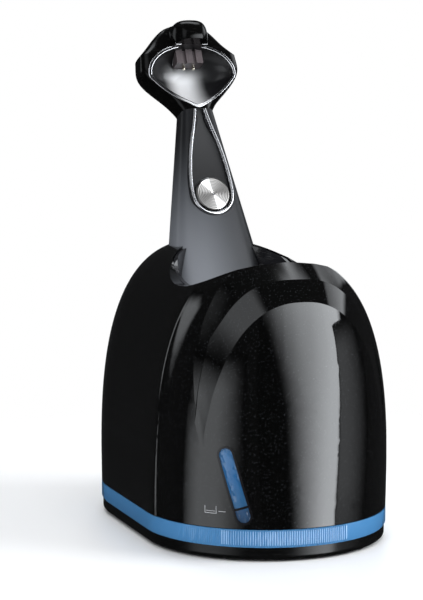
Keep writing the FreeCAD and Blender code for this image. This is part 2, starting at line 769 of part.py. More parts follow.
# ================================================================ cartridge
def cartridge_plan(inset, z0, z1):
    """Cartridge outline: straight sides, rounded front, rear end shaped to the doorway."""
    front_r = CARTRIDGE_FRONT_R - inset
    rear_r = CARTRIDGE_REAR_R - inset
    half = CARTRIDGE_HALF - inset
    body = box(-half, half, -END_Y, END_Y, z0, z1)
    front = rod(front_r, 0, -END_Y, z0, z1)
    rear = rod(rear_r, 0, END_Y, z0, z1)
    rounded = body.fuse([front, rear])
    return rounded.common(box(-half, half, -DEPTH, DEPTH, z0, z1)).removeSplitter()


def make_tub():
    tub = cartridge_plan(0, CARTRIDGE_Z, TUB_TOP)
    upright = [edge for edge in tub.Edges if edge.BoundBox.ZLength > TUB_TOP - CARTRIDGE_Z - HOLE_OVER]
    tub = tub.makeFillet(TUB_CORNER, upright)
    tub = tub.cut(cartridge_plan(TUB_WALL, CARTRIDGE_Z + TUB_WALL, TUB_TOP + HOLE_OVER))
    grip = rod_y(GRIP_R, 0, GRIP_Z, END_Y + CARTRIDGE_REAR_R - GRIP_DEPTH + TUB_WALL, DEPTH)
    return tub.cut(grip.common(box(-FAR, FAR, 0, FAR, 0, GRIP_TOP)))


def make_cartridge_lid():
    lid = cartridge_plan(TUB_WALL / 2, TUB_TOP, LID_TOP)
    skirt = cartridge_plan(TUB_WALL + LID_FIT, TUB_TOP - LID_SKIRT, TUB_TOP)
    skirt = skirt.cut(cartridge_plan(2 * TUB_WALL, TUB_TOP - LID_SKIRT, TUB_TOP))
    rib = cartridge_plan(TUB_WALL / 2, LID_TOP, BACK_RIB_TOP)
    rib = rib.cut(cartridge_plan(TUB_WALL / 2 + BACK_RIB_THICK, LID_TOP, BACK_RIB_TOP))
    rib = rib.common(box(-FAR, FAR, BACK_RIB_Y, FAR, 0, FAR))
    lid = lid.fuse([skirt, rib])
    for x, y in ((0, DRAIN_Y), (PUMP_X, PUMP_Y)):
        lid = lid.fuse(rod(PORT_R, x, y, TUB_TOP, PORT_TOP))
        lid = lid.cut(rod(PORT_HOLE_R, x, y, TUB_TOP - HOLE_OVER, PORT_TOP))
    return lid.removeSplitter()


def make_port_valves():
    valves = []
    for x, y in ((0, DRAIN_Y), (PUMP_X, PUMP_Y)):
        valves.append(rod(PORT_HOLE_R, x, y, PORT_TOP - VALVE_THICK, PORT_TOP))
    return valves


def make_suction_tube():
    """Hangs from the lid's suction port down to the liquid."""
    bore = SUCTION_TUBE_R - SUCTION_TUBE_WALL
    pipe = tube(SUCTION_TUBE_R, bore, PUMP_X, PUMP_Y, SUCTION_TUBE_FOOT, TUB_TOP)
    collar = tube(PORT_HOLE_R, bore, PUMP_X, PUMP_Y, TUB_TOP, PORT_TOP - VALVE_THICK)
    return pipe.fuse(collar).removeSplitter()


def make_filter():
    return tube(FILTER_R, PORT_HOLE_R, 0, DRAIN_Y, FILTER_FOOT, TUB_TOP)


# ================================================================ housing
def screw_places():
    """Housing screws: two in the front shell, two in the rear shell."""
    turn = math.radians(BOSS_TURN)
    x = BOSS_REACH * math.cos(turn)
    y = END_Y + BOSS_REACH * math.sin(turn)
    return [(-x, -y), (x, -y), (-x, y), (x, y)]


def window_frame(shape):
    """Places a shape drawn at the origin (X across, Y inwards, Z along) at the window."""
    placed = shape.copy()
    placed.rotate(Vec(0, 0, 0), Vec(0, 1, 0), -WINDOW_SLANT)
    placed.rotate(Vec(0, 0, 0), Vec(0, 0, 1), WINDOW_TURN)
    turn = math.radians(WINDOW_TURN)
    centre = Vec(HALF_WIDTH * math.sin(turn), -END_Y - HALF_WIDTH * math.cos(turn), WINDOW_Z)
    placed.translate(centre)
    return placed


def slot_prism(width, length):
    """Round-ended slot, long along Z, cut through along Y."""
    radius = width / 2
    straight = length / 2 - radius
    bar = box(-radius, radius, -SLOT_REACH, SLOT_REACH, -straight, straight)
    ends = [disc(radius, 0, side * straight, -SLOT_REACH, SLOT_REACH) for side in (-1, 1)]
    return bar.fuse(ends).removeSplitter()


def make_shell_blank(outer, inner):
    shell = outer.cut(inner)
    shell = shell.cut(well_prism(0, SHELF_Z - WELL_CUT, FAR)).cut(saddle_cutter())
    tower_hole = tower_form(-TOWER_FIT)
    door = box(-DOOR_HALF, DOOR_HALF, END_Y, DEPTH, 0, DOOR_TOP)
    return shell.cut(tower_hole).cut(door)


def bosses(rear):
    solids = []
    for x, y in screw_places():
        if (y > 0) == rear:
            boss = rod(BOSS_R, x, y, CHASSIS_TOP, BOSS_TOP)
            solids.append(boss)
    return solids


def drill_bosses(shell):
    for x, y in screw_places():
        shell = shell.cut(rod(SCREW_R + SCREW_FIT, x, y, CHASSIS_TOP - HOLE_OVER, BOSS_TOP - SCREW_TIP))
    return shell


def make_front_shell(blank, outer):
    front = blank.common(box(-FAR, FAR, -FAR, SHELL_SPLIT_Y, 0, FAR))
    front = front.fuse([boss.common(outer) for boss in bosses(False)])
    front = drill_bosses(front)
    front = front.cut(strip_cutter(INNER_ARCH, OUTER_ARCH, 0))
    front = front.cut(strip_cutter(OUTER_ARCH, RIM_ARCH, LEG_LIFT))
    return front.cut(window_frame(slot_prism(WINDOW_WIDTH, WINDOW_LENGTH)))


def lift_button_hole():
    half = LIFT_BUTTON_HALF + RUN_GAP
    return box(-half, half, END_Y, DEPTH, BAR_TOP - RUN_GAP, LIFT_BUTTON_TOP + RUN_GAP)


def socket_body():
    half = SOCKET_HEIGHT / 2
    return box(-SOCKET_HALF, SOCKET_HALF, SOCKET_INNER_Y, DEPTH, SOCKET_Z - half, SOCKET_Z + half)


def make_rear_shell(blank, outer):
    rear = blank.common(box(-FAR, FAR, SHELL_SPLIT_Y, FAR, 0, FAR))
    rear = rear.fuse([boss.common(outer) for boss in bosses(True)])
    return drill_bosses(rear).cut(lift_button_hole()).cut(socket_body())


def make_guide_sleeves(inner):
    """Sleeves on the side walls that run on the posts."""
    sleeves = []
    for side in (-1, 1):
        x = side * POST_X
        web_x = sorted((x, side * HALF_WIDTH))
        web_half = SLEEVE_WEB / 2
        web = box(web_x[0], web_x[1], POST_Y - web_half, POST_Y + web_half, SLEEVE_BOTTOM, SLEEVE_TOP)
        sleeve = rod(SLEEVE_R, x, POST_Y, SLEEVE_BOTTOM, SLEEVE_TOP).fuse(web)
        sleeve = sleeve.cut(rod(POST_R + RUN_GAP, x, POST_Y, SLEEVE_BOTTOM, SLEEVE_TOP))
        sleeves.append(sleeve.common(inner).removeSplitter())
    return sleeves


def make_window_bezel(proud_form, inner):
    slot = slot_prism(WINDOW_WIDTH, WINDOW_LENGTH)
    hole = slot_prism(WINDOW_WIDTH - 2 * BEZEL_WIDTH, WINDOW_LENGTH - 2 * BEZEL_WIDTH)
    return window_frame(slot.cut(hole)).common(proud_form).cut(inner)


def lens_prism():
    return slot_prism(WINDOW_WIDTH - 2 * BEZEL_WIDTH, WINDOW_LENGTH - 2 * BEZEL_WIDTH)


def mark_prism():
    half = WINDOW_WIDTH / 2 - BEZEL_WIDTH
    foot = -MARK_DROP - MARK_HEIGHT / 2
    return box(-half, half, -SLOT_REACH, SLOT_REACH, foot, foot + MARK_HEIGHT)


def make_level_window(sunk_form, inner):
    return window_frame(lens_prism()).common(sunk_form).cut(inner)


def make_level_mark(mark_form, sunk_form):
    return window_frame(mark_prism()).common(mark_form).cut(sunk_form)


def make_basin():
    top = TOP_Z + HOLE_OVER
    upper = well_prism(BASIN_FIT, SHELF_Z, top)
    bowl_outer = bowl_form(0)
    basin = upper.fuse(bowl_outer)
    basin = basin.cut(well_prism(BASIN_FIT + BASIN_WALL, SHELF_Z + BASIN_WALL, top))
    basin = basin.cut(bowl_form(BASIN_WALL))
    basin = basin.common(envelope(BASIN_DROP))
    dip = saddle_cutter()
    dip.translate(Vec(0, 0, -BASIN_DROP))
    basin = basin.cut(dip)
    spout = rod(DRAIN_R + DRAIN_WALL, 0, DRAIN_Y, CHASSIS_TOP, BOWL_FLOOR_Z + BASIN_WALL)
    basin = basin.fuse(spout)
    basin = basin.cut(rod(DRAIN_R, 0, DRAIN_Y, CHASSIS_TOP, BOWL_FLOOR_Z + BASIN_WALL + DRAIN_INTO_BOWL))
    basin = basin.cut(tower_form(-TOWER_FIT))
    for x, y in basin_leg_places():
        leg = rod(BASIN_LEG_R, x, y, CHASSIS_TOP, BOWL_FLOOR_Z + BASIN_LEG_INTO_BOWL).cut(bowl_form(0))
        basin = basin.fuse(leg)
        basin = basin.cut(rod(SCREW_R + SCREW_FIT, x, y, CHASSIS_TOP - HOLE_OVER, CHASSIS_TOP + SCREW_LENGTH))
    return basin.cut(make_wash_nozzle())


def basin_leg_places():
    return [(-BASIN_LEG_X, DRAIN_Y), (BASIN_LEG_X, DRAIN_Y)]


def bowl_form(inset):
    """Deep part of the basin, in front of the tower."""
    top = SHELF_Z + BOWL_OVER + 2 * inset
    front = WELL_FRONT_Y + BASIN_FIT + BOWL_INSET + inset
    rear = BOWL_REAR_Y - inset
    middle = (front + rear) / 2
    long_half = (rear - front) / 2
    wide = WELL_HALF - BASIN_FIT - BOWL_INSET - BOWL_TAPER / 2 - inset
    floor = BOWL_FLOOR_Z + inset
    small = BOWL_LENGTH / 2 - inset
    knee_half = BOWL_HALF + BOWL_FLARE - inset
    shoulder_power = (BOWL_POWER + BOWL_TOP_POWER) / 2
    shoulder_long = long_half - 2 * BOWL_TAPER
    return loft([
        oval_wire(BOWL_HALF - inset, small, DRAIN_Y, floor, BOWL_POWER),
        oval_wire(knee_half, small + BOWL_STRETCH, (DRAIN_Y + middle) / 2, floor + BOWL_KNEE, BOWL_POWER),
        oval_wire(wide - BOWL_TAPER, shoulder_long, middle, floor + BOWL_SHOULDER, shoulder_power),
        oval_wire(wide, long_half, middle, top, BOWL_TOP_POWER),
    ])


def make_chassis(fit_form):
    plate = fit_form.common(box(-FAR, FAR, -FAR, FAR, CHASSIS_Z, CHASSIS_TOP))
    for side in (-1, 1):
        x = side * CLIP_X
        slot_y = CLIP_Y + CLIP_THICK + CLIP_GAP
        slot = box(x - CLIP_WIDTH, x + CLIP_WIDTH, CLIP_Y - CLIP_FOOT, slot_y, CHASSIS_Z, CHASSIS_TOP)
        plate = plate.cut(slot)
        plate = plate.cut(rod(POST_R + RUN_GAP, side * POST_X, POST_Y, CHASSIS_Z, CHASSIS_TOP))
    plate = plate.cut(rod(DRAIN_R, 0, DRAIN_Y, CHASSIS_Z, CHASSIS_TOP))
    plate = plate.cut(rod(SEAL_HOLE_R, PUMP_X, PUMP_Y, CHASSIS_Z, CHASSIS_TOP))
    wall_back = STOP_WALL_Y + STOP_WALL_THICK
    wall = box(-STOP_WALL_HALF, STOP_WALL_HALF, STOP_WALL_Y, wall_back, CHASSIS_TOP, STOP_WALL_TOP)
    plate = plate.fuse(wall)
    places = screw_places() + bracket_screw_places() + basin_leg_places()
    for x, y in places:
        plate = plate.cut(rod(SCREW_R + SCREW_FIT, x, y, CHASSIS_Z, CHASSIS_TOP))
    return plate.removeSplitter()


def make_seal(x, y):
    """Rubber ring on the chassis that the cartridge's port stands under."""
    return tube(SEAL_R, SEAL_HOLE_R, x, y, SEAL_FOOT, CHASSIS_Z)


def make_housing_screws():
    return [screw_up(x, y, CHASSIS_Z) for x, y in screw_places()]


def make_basin_screws():
    return [screw_up(x, y, CHASSIS_Z) for x, y in basin_leg_places()]


# ================================================================ tower bracket
def bracket_screw_places():
    middle = (BRACKET_FRONT + BRACKET_REAR) / 2
    return [(0, BRACKET_FRONT + BRACKET_SCREW_IN), (0, middle + BRACKET_SCREW_IN)]


def make_tower_bracket():
    outer = box(-BRACKET_HALF, BRACKET_HALF, BRACKET_FRONT, BRACKET_REAR, CHASSIS_TOP, TOWER_FOOT_Z)
    half = BRACKET_HALF - BRACKET_WALL
    hollow = box(-half, half, BRACKET_FRONT + BRACKET_WALL, DEPTH, CHASSIS_TOP + BRACKET_FOOT, FAR)
    bracket = outer.cut(hollow)
    for x, y in bracket_screw_places():
        bracket = bracket.cut(rod(SCREW_R + SCREW_FIT, x, y, CHASSIS_TOP, CHASSIS_TOP + BRACKET_FOOT))
    return bracket


def make_bracket_screws():
    length = CHASSIS_THICK + BRACKET_FOOT + 2 * SCREW_TIP
    return [screw_up(x, y, CHASSIS_Z, length) for x, y in bracket_screw_places()]


# ================================================================ pump
def make_pump_housing():
    body = rod(PUMP_R, PUMP_X, PUMP_Y, CHASSIS_TOP, PUMP_RIM_Z)
    mouth = PUMP_Y - PUMP_R - PUMP_SPOUT
    spout = rod_y(HOSE_R + PUMP_SPOUT_WALL, PUMP_X, SPOUT_Z, mouth, PUMP_Y - PUMP_CHAMBER_R)
    body = body.fuse(spout)
    floor = CHASSIS_TOP + PUMP_FLOOR
    body = body.cut(rod(PUMP_CHAMBER_R, PUMP_X, PUMP_Y, floor, PUMP_RIM_Z))
    body = body.cut(rod(SEAL_HOLE_R, PUMP_X, PUMP_Y, CHASSIS_TOP, floor))
    body = body.cut(rod_y(HOSE_BORE, PUMP_X, SPOUT_Z, mouth, PUMP_Y))
    return body


def make_pump_cover():
    return tube(PUMP_R, SHAFT_R + SHAFT_RUN, PUMP_X, PUMP_Y, PUMP_RIM_Z, PUMP_COVER_TOP)


def make_pump_motor():
    can = rod(MOTOR_R, PUMP_X, PUMP_Y, PUMP_COVER_TOP, MOTOR_TOP)
    rim = [edge for edge in can.Edges if edge.BoundBox.ZMin > MOTOR_TOP - EDGE_TOL]
    can = can.makeFillet(MOTOR_EDGE, rim)
    can = can.fuse(rod(MOTOR_BOSS_R, PUMP_X, PUMP_Y, MOTOR_TOP, MOTOR_TOP + MOTOR_BOSS))
    return can.cut(rod(SHAFT_R + SHAFT_RUN, PUMP_X, PUMP_Y, PUMP_COVER_TOP, SHAFT_TOP))


def make_impeller():
    top = IMPELLER_Z + IMPELLER_PLATE + VANE_HEIGHT
    wheel = rod(IMPELLER_R, PUMP_X, PUMP_Y, IMPELLER_Z, IMPELLER_Z + IMPELLER_PLATE)
    wheel = wheel.fuse(rod(IMPELLER_HUB_R, PUMP_X, PUMP_Y, IMPELLER_Z, top))
    for step in range(VANE_COUNT):
        vane = box(VANE_ROOT, IMPELLER_R - VANE_TIP_GAP, -VANE_THICK / 2, VANE_THICK / 2, IMPELLER_Z, top)
        vane.rotate(Vec(0, 0, 0), Vec(0, 0, 1), step * 360 / VANE_COUNT)
        vane.translate(Vec(PUMP_X, PUMP_Y, 0))
        wheel = wheel.fuse(vane)
    return wheel.cut(rod(SHAFT_R, PUMP_X, PUMP_Y, IMPELLER_Z, top)).removeSplitter()


def make_motor_shaft():
    return rod(SHAFT_R, PUMP_X, PUMP_Y, IMPELLER_Z, SHAFT_TOP)


def bend(points, radii):
    """Wire of straight runs joined by tangent arcs."""
    edges = []
    start = points[0]
    for before, corner, after, radius in zip(points, points[1:], points[2:], radii):
        first = (before - corner).normalize()
        second = (after - corner).normalize()
        half_turn = first.getAngle(second) / 2
        back_off = radius / math.tan(half_turn)
        enter = corner + first * back_off
        leave = corner + second * back_off
        middle_way = (first + second).normalize()
        middle = corner + middle_way * (radius / math.sin(half_turn) - radius)
        edges.append(Part.LineSegment(start, enter).toShape())
        edges.append(Part.Arc(enter, middle, leave).toShape())
        start = leave
    edges.append(Part.LineSegment(start, points[-1]).toShape())
    return Part.Wire(edges)


def pipe(points, radius, bend_radii):
    path = bend(points, bend_radii)
    way = (points[1] - points[0]).normalize()
    ring = Part.Wire([Part.makeCircle(radius, points[0], way)])
    return path.makePipeShell([ring], True, False)


def hose_points():
    return [
        Vec(PUMP_X, PUMP_Y - PUMP_R - PUMP_SPOUT, SPOUT_Z),
        Vec(PUMP_X, HOSE_Y, SPOUT_Z),
        Vec(NOZZLE_X, HOSE_Y, NOZZLE_Z),
        Vec(NOZZLE_X, NOZZLE_END_Y, NOZZLE_Z),
    ]


def make_wash_hose():
    return pipe(hose_points(), HOSE_R, (HOSE_BEND, HOSE_NOZZLE_BEND))


def make_wash_nozzle():
    nozzle = rod_y(HOSE_R, NOZZLE_X, NOZZLE_Z, NOZZLE_Y, NOZZLE_END_Y)
    flange_back = NOZZLE_Y + NOZZLE_FLANGE_THICK
    flange = rod_y(NOZZLE_FLANGE_R, NOZZLE_X, NOZZLE_Z, NOZZLE_Y, flange_back)
    return nozzle.fuse(flange).removeSplitter()


# ================================================================ electrics
def make_control_board():
    board = box(-BOARD_HALF, BOARD_HALF, BOARD_Y, BOARD_Y + BOARD_THICK, CHASSIS_TOP, BOARD_TOP)
    back = BOARD_Y + BOARD_THICK
    left = CHIP_X - CHIP_HALF
    foot = CHIP_Z - CHIP_HALF
    chip = box(left, left + 2 * CHIP_HALF, back, back + CHIP_THICK, foot, foot + 2 * CHIP_HALF)
    return board.fuse([chip, board_plug()]).removeSplitter()


def board_plug():
    """Connector on the board that takes the harness."""
    x0 = WIRE_X - PLUG_HALF
    x1 = WIRE_X + PLUG_HALF
    return box(x0, x1, BOARD_Y - PLUG_DEPTH, BOARD_Y, WIRE_END_Z - PLUG_HALF, WIRE_END_Z + PLUG_HALF)


def make_power_socket(outer):
    body = socket_body().common(outer)
    mouth = END_Y + end_reach_at(SOCKET_Z - SOCKET_HEIGHT / 2)
    recess_half = SOCKET_RECESS_HEIGHT / 2
    recess = box(-SOCKET_RECESS_HALF, SOCKET_RECESS_HALF, mouth - SOCKET_RECESS_DEPTH, DEPTH,
                 SOCKET_Z - recess_half, SOCKET_Z + recess_half)
    body = body.cut(recess)
    pins = []
    for side in (-1, 1):
        x = side * SOCKET_PIN_PITCH / 2
        start = mouth - SOCKET_RECESS_DEPTH - SOCKET_PIN_ROOT
        pins.append(rod_y(SOCKET_PIN_R, x, SOCKET_Z, start, start + SOCKET_PIN_ROOT + SOCKET_PIN_LENGTH))
    return body.fuse(pins)


def make_power_leads():
    leads = []
    back = BOARD_Y + BOARD_THICK
    for side in (-1, 1):
        leads.append(rod_y(LEAD_R, side * LEAD_PITCH / 2, SOCKET_Z + LEAD_RISE, back, SOCKET_INNER_Y))
    return leads


# ================================================================ lift button
def make_release_bar():
    ring = tube(BAR_OUTER_R, BAR_INNER_R, 0, END_Y, BAR_BOTTOM, BAR_TOP)
    bar = ring.common(box(-FAR, FAR, END_Y, FAR, 0, FAR))
    arms = []
    for side in (-1, 1):
        x = sorted((side * BAR_INNER_R, side * BAR_OUTER_R))
        arms.append(box(x[0], x[1], BAR_FRONT_Y, END_Y, BAR_BOTTOM, BAR_TOP))
    return bar.fuse(arms).removeSplitter()


def make_lift_button(outer):
    cap = box(-LIFT_BUTTON_HALF, LIFT_BUTTON_HALF, LIFT_BUTTON_INNER_Y, DEPTH, BAR_TOP, LIFT_BUTTON_TOP)
    cap = cap.common(outer)
    half = LIFT_BUTTON_HALF + LIFT_FLANGE
    flange_y = LIFT_BUTTON_INNER_Y - LIFT_FLANGE_THICK
    flange = box(-half, half, flange_y, LIFT_BUTTON_INNER_Y, BAR_TOP, LIFT_BUTTON_TOP + LIFT_FLANGE)
    return cap.fuse(flange).removeSplitter()


def make_lift_button_spring():
    start = STOP_WALL_Y + STOP_WALL_THICK
    end = LIFT_BUTTON_INNER_Y - LIFT_FLANGE_THICK
    spring = coil(LIFT_SPRING_R, SPRING_WIRE, 0, 0, 0, end - start, LIFT_SPRING_TURNS)
    spring.rotate(Vec(0, 0, 0), Vec(1, 0, 0), -90)
    spring.translate(Vec(0, start, LIFT_SPRING_Z))
    return spring


# ================================================================ tower
def split_block(front):
    """Half-space in front of or behind the tower's split plane."""
    block = box(-FAR, FAR, -FAR, TOWER_SPLIT, -FAR, FAR)
    if not front:
        block = box(-FAR, FAR, TOWER_SPLIT, FAR, -FAR, FAR)
    return to_tower(block)


def tower_shell():
    above_foot = box(-FAR, FAR, -FAR, FAR, TOWER_FOOT_Z, FAR)
    above_floor = box(-FAR, FAR, -FAR, FAR, TOWER_FOOT_Z + TOWER_FLOOR, FAR)
    outer = tower_form(0).common(above_foot)
    inner = tower_form(TOWER_WALL, TOWER_NECK - TOWER_ROOF).common(above_floor)
    return outer.cut(inner).cut(wire_channel())


def make_tower_front(shell):
    front = shell.common(split_block(True))
    pocket_back = INSERT_SINK + INSERT_THICK
    backing = tear_prism(-TEAR_BACKING, pocket_back, pocket_back + WELL_WALL)
    well_back = disc(BUTTON_R + BUTTON_GAP + WELL_WALL, 0, BUTTON_H, pocket_back, BUTTON_WELL + WELL_WALL)
    front = front.fuse([to_tower(backing), to_tower(well_back)])
    pocket = tear_prism(0, -TEAR_REACH, pocket_back)
    well = disc(BUTTON_R + BUTTON_GAP, 0, BUTTON_H, 0, BUTTON_WELL)
    stem_hole = disc(STEM_R + BUTTON_GAP, 0, BUTTON_H, 0, TOWER_SPLIT)
    for cutter in (pocket, well, stem_hole):
        front = front.cut(to_tower(cutter))
    return front.cut(head_pocket())


def make_tower_rear(shell):
    depth = TOWER_NECK_DEPTH + TOWER_DEEPEN * (TOWER_NECK - BUTTON_H)
    half = SWITCH_POST
    post = box(-half, half, switch_back(), depth - TOWER_WALL / 2, BUTTON_H - half, BUTTON_H + half)
    return shell.common(split_block(False)).fuse(to_tower(post)).cut(head_pocket())


def head_pocket():
    """Room for the head where it caps the tower."""
    return to_tower(box(-FAR, FAR, -FAR, FAR, HEAD_FOOT, FAR))


def make_cradle_insert():
    plate = tear_prism(TRIM_WIDTH + INSERT_FIT, INSERT_SINK, INSERT_SINK + INSERT_THICK)
    hole = disc(BUTTON_R + BUTTON_GAP, 0, BUTTON_H, INSERT_SINK - 1, INSERT_SINK + INSERT_THICK + 1)
    floor_top = HEAD_FOOT
    room = box(-FAR, FAR, -FAR, FAR, -FAR, floor_top)
    return to_tower(plate.cut(hole).common(room))


def make_cradle_trim():
    ring = tear_prism(INSERT_FIT, -TRIM_PROUD, INSERT_SINK + INSERT_THICK)
    ring = ring.cut(tear_prism(TRIM_WIDTH, -1, INSERT_SINK + INSERT_THICK + 1))
    room = box(-FAR, FAR, -FAR, FAR, -FAR, HEAD_FOOT)
    return to_tower(ring.common(room))


def make_start_button():
    cap = disc(BUTTON_R, 0, BUTTON_H, -BUTTON_PROUD, BUTTON_BACK)
    stem = disc(STEM_R, 0, BUTTON_H, BUTTON_BACK, STEM_END)
    collar = disc(STEM_R + STEM_COLLAR, 0, BUTTON_H, STEM_END - STEM_COLLAR_THICK, STEM_END)
    return to_tower(cap.fuse([stem, collar]).removeSplitter())


def make_start_button_spring():
    spring = coil(START_SPRING_R, START_SPRING_WIRE, 0, 0, 0, BUTTON_WELL - BUTTON_BACK, START_SPRING_TURNS)
    spring.rotate(Vec(0, 0, 0), Vec(1, 0, 0), -90)
    spring.translate(Vec(0, BUTTON_BACK, BUTTON_H))
    return to_tower(spring)


def switch_back():
    return STEM_END + BUTTON_TRAVEL + SWITCH_GAP + SWITCH_DEPTH


def make_start_switch():
    """Push switch behind the start button, on a post of the rear shell."""
    half = SWITCH_HALF
    front = switch_back() - SWITCH_DEPTH
    return to_tower(box(-half, half, front, switch_back(), BUTTON_H - half, BUTTON_H + half))


# ================================================================ head
def head_block():
    return head_form().fuse(visor_form())


def wire_points():
    """Harness: from the contact block down the tower, then back to the board."""
    lean = math.radians(LEAN)

    def in_tower(depth, h):
        y = TOWER_Y + depth * math.cos(lean) + h * math.sin(lean)
        z = TOWER_Z - depth * math.sin(lean) + h * math.cos(lean)
        return Vec(WIRE_X, y, z)

    return [
        in_tower(BLOCK_BACK, WIRE_H),
        in_tower(WIRE_BACK, WIRE_H),
        in_tower(WIRE_NECK, WIRE_NECK_H),
        in_tower(WIRE_LOW, WIRE_LOW_H),
        Vec(WIRE_X, BOARD_Y - PLUG_DEPTH, WIRE_END_Z),
    ]


def wire_channel():
    return pipe(wire_points(), WIRE_R + WIRE_FIT, WIRE_BENDS)


def make_wire_harness():
    return pipe(wire_points(), WIRE_R, WIRE_BENDS).cut(board_plug())


def contact_block_body():
    half = BLOCK_HALF
    return box(-half, half, BLOCK_FRONT, BLOCK_BACK, BLOCK_FOOT, BLOCK_TOP)


def contact_ridges():
    ridges = []
    front = BLOCK_FRONT - RIDGE_DEPTH
    for step in (-1, 0, 1):
        x = step * RIDGE_PITCH
        ridges.append(box(x - RIDGE_HALF, x + RIDGE_HALF, front, BLOCK_FRONT, BLOCK_FOOT, VISOR_Z))
    return ridges


def make_contact_block():
    block = contact_block_body().fuse(contact_ridges())
    for side in (-1, 1):
        x = side * PIN_X
        block = block.cut(rod(PIN_R + PIN_RUN, x, PIN_Y, BLOCK_FOOT, PIN_SEAT_H))
        block = block.cut(rod(PIN_HEAD_R + PIN_RUN, x, PIN_Y, PIN_SEAT_H, PIN_BORE_TOP))
    return to_tower(block.removeSplitter())


def make_contact_pin(side):
    x = side * PIN_X
    pin = rod(PIN_R, x, PIN_Y, PIN_TIP, PIN_HEAD_H)
    tip = [edge for edge in pin.Edges if edge.BoundBox.ZMax < PIN_TIP + EDGE_TOL]
    pin = pin.makeFillet(PIN_TIP_ROUND, tip)
    pin = pin.fuse(rod(PIN_HEAD_R, x, PIN_Y, PIN_HEAD_H, PIN_HEAD_H + PIN_HEAD_THICK))
    return to_tower(pin.removeSplitter())


def make_contact_spring(side):
    foot = PIN_HEAD_H + PIN_HEAD_THICK
    radius = PIN_HEAD_R - CONTACT_SPRING_WIRE - PIN_RUN
    x = side * PIN_X
    return to_tower(coil(radius, CONTACT_SPRING_WIRE, x, PIN_Y, foot, PIN_BORE_TOP, CONTACT_SPRING_TURNS))


def make_head_hood():
    hood = head_block().cut(cup_form(CUP_WALL)).cut(contact_block_body())
    return to_tower(hood).cut(wire_channel())


def make_head_cup():
    cup = cup_form(CUP_WALL).cut(cup_form(0)).common(head_block())
    return to_tower(cup.cut(contact_block_body()).cut(contact_ridges())).cut(wire_channel())


def main():
    outer = envelope(0)
    inner = envelope(WALL, 0)
    blank = make_shell_blank(outer, inner)

    save("base_tray", make_base_tray())
    save("rubber_feet", *make_feet())
    save("trim_ring", make_trim_ring())
    save("guide_posts", *make_posts())
    save("lift_springs", *make_lift_springs())
    save("post_screws", *make_post_screws())
    save("latch_clips", *make_latch_clips())

    save("cartridge_tub", make_tub())
    save("cartridge_lid", make_cartridge_lid())
    save("port_valves", *make_port_valves())
    save("suction_tube", make_suction_tube())
    save("drain_filter", make_filter())

    save("front_shell", make_front_shell(blank, outer))
    save("rear_shell", make_rear_shell(blank, outer))
    save("guide_sleeves", *make_guide_sleeves(inner))
    save("window_bezel", make_window_bezel(envelope(-BEZEL_PROUD), inner))
    sunk = envelope(LENS_SINK)
    save("level_window", make_level_window(sunk, inner))
    save("level_mark", make_level_mark(envelope(LENS_SINK - MARK_PROUD), sunk))
    save("wash_basin", make_basin())
    save("chassis", make_chassis(envelope(WALL + CHASSIS_FIT)))
    save("drain_seal", make_seal(0, DRAIN_Y))
    save("suction_seal", make_seal(PUMP_X, PUMP_Y))
    save("housing_screws", *make_housing_screws())
    save("basin_screws", *make_basin_screws())
    save("tower_bracket", make_tower_bracket())
    save("bracket_screws", *make_bracket_screws())

    save("pump_housing", make_pump_housing())
    save("pump_cover", make_pump_cover())
    save("pump_motor", make_pump_motor())
    save("impeller", make_impeller())
    save("motor_shaft", make_motor_shaft())
    save("wash_hose", make_wash_hose())
    save("wash_nozzle", make_wash_nozzle())
    save("control_board", make_control_board())
    save("power_socket", make_power_socket(outer))
    save("power_leads", *make_power_leads())

    save("release_bar", make_release_bar())
    save("lift_button", make_lift_button(outer))
    save("lift_button_spring", make_lift_button_spring())

    shell = tower_shell()
    save("tower_front", make_tower_front(shell))
    save("tower_rear", make_tower_rear(shell))
    save("cradle_insert", make_cradle_insert())
    save("cradle_trim", make_cradle_trim())
    save("start_button", make_start_button())
    save("start_button_spring", make_start_button_spring())
    save("start_switch", make_start_switch())
    save("wire_harness", make_wire_harness())
    save("head_hood", make_head_hood())
    save("head_cup", make_head_cup())
    save("contact_block", make_contact_block())
    for name, side in (("left", -1), ("right", 1)):
        save("contact_pin_" + name, make_contact_pin(side))
        save("contact_spring_" + name, make_contact_spring(side))


main()
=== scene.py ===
import math

import bmesh
import bpy
from mathutils import Matrix, Vector


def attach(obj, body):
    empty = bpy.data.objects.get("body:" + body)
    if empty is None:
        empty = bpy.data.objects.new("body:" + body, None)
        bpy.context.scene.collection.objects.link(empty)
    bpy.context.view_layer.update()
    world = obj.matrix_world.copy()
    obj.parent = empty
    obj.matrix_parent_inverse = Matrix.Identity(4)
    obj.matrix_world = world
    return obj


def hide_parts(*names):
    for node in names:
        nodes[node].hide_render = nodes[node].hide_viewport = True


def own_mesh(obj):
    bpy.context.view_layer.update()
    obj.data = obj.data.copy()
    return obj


# Shaver cleaning station: looks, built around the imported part. Metres, +Z up, front towards -Y.

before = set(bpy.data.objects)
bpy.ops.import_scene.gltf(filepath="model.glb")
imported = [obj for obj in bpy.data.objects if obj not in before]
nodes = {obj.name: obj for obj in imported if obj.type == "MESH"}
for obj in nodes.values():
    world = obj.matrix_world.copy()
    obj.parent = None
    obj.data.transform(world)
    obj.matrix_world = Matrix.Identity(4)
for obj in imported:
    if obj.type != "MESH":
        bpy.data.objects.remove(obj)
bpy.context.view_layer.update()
scene = bpy.context.scene
scene.view_settings.view_transform = "Standard"

# ---------------------------------------------------------------- sizes
WELD = 0.000002                           # points nearer than this are one point
CUT = 0.000001                            # tolerance of a cut
ON_LEVEL = 0.0001                         # a point this near to a level lies on it
TURN_STEPS = 96                           # sides of a turned solid
BEYOND_FRONT = 0.1                        # from the front's centre: clear of the housing all round
BEYOND_REAR = 0.2                         # Y that is clear of the rear

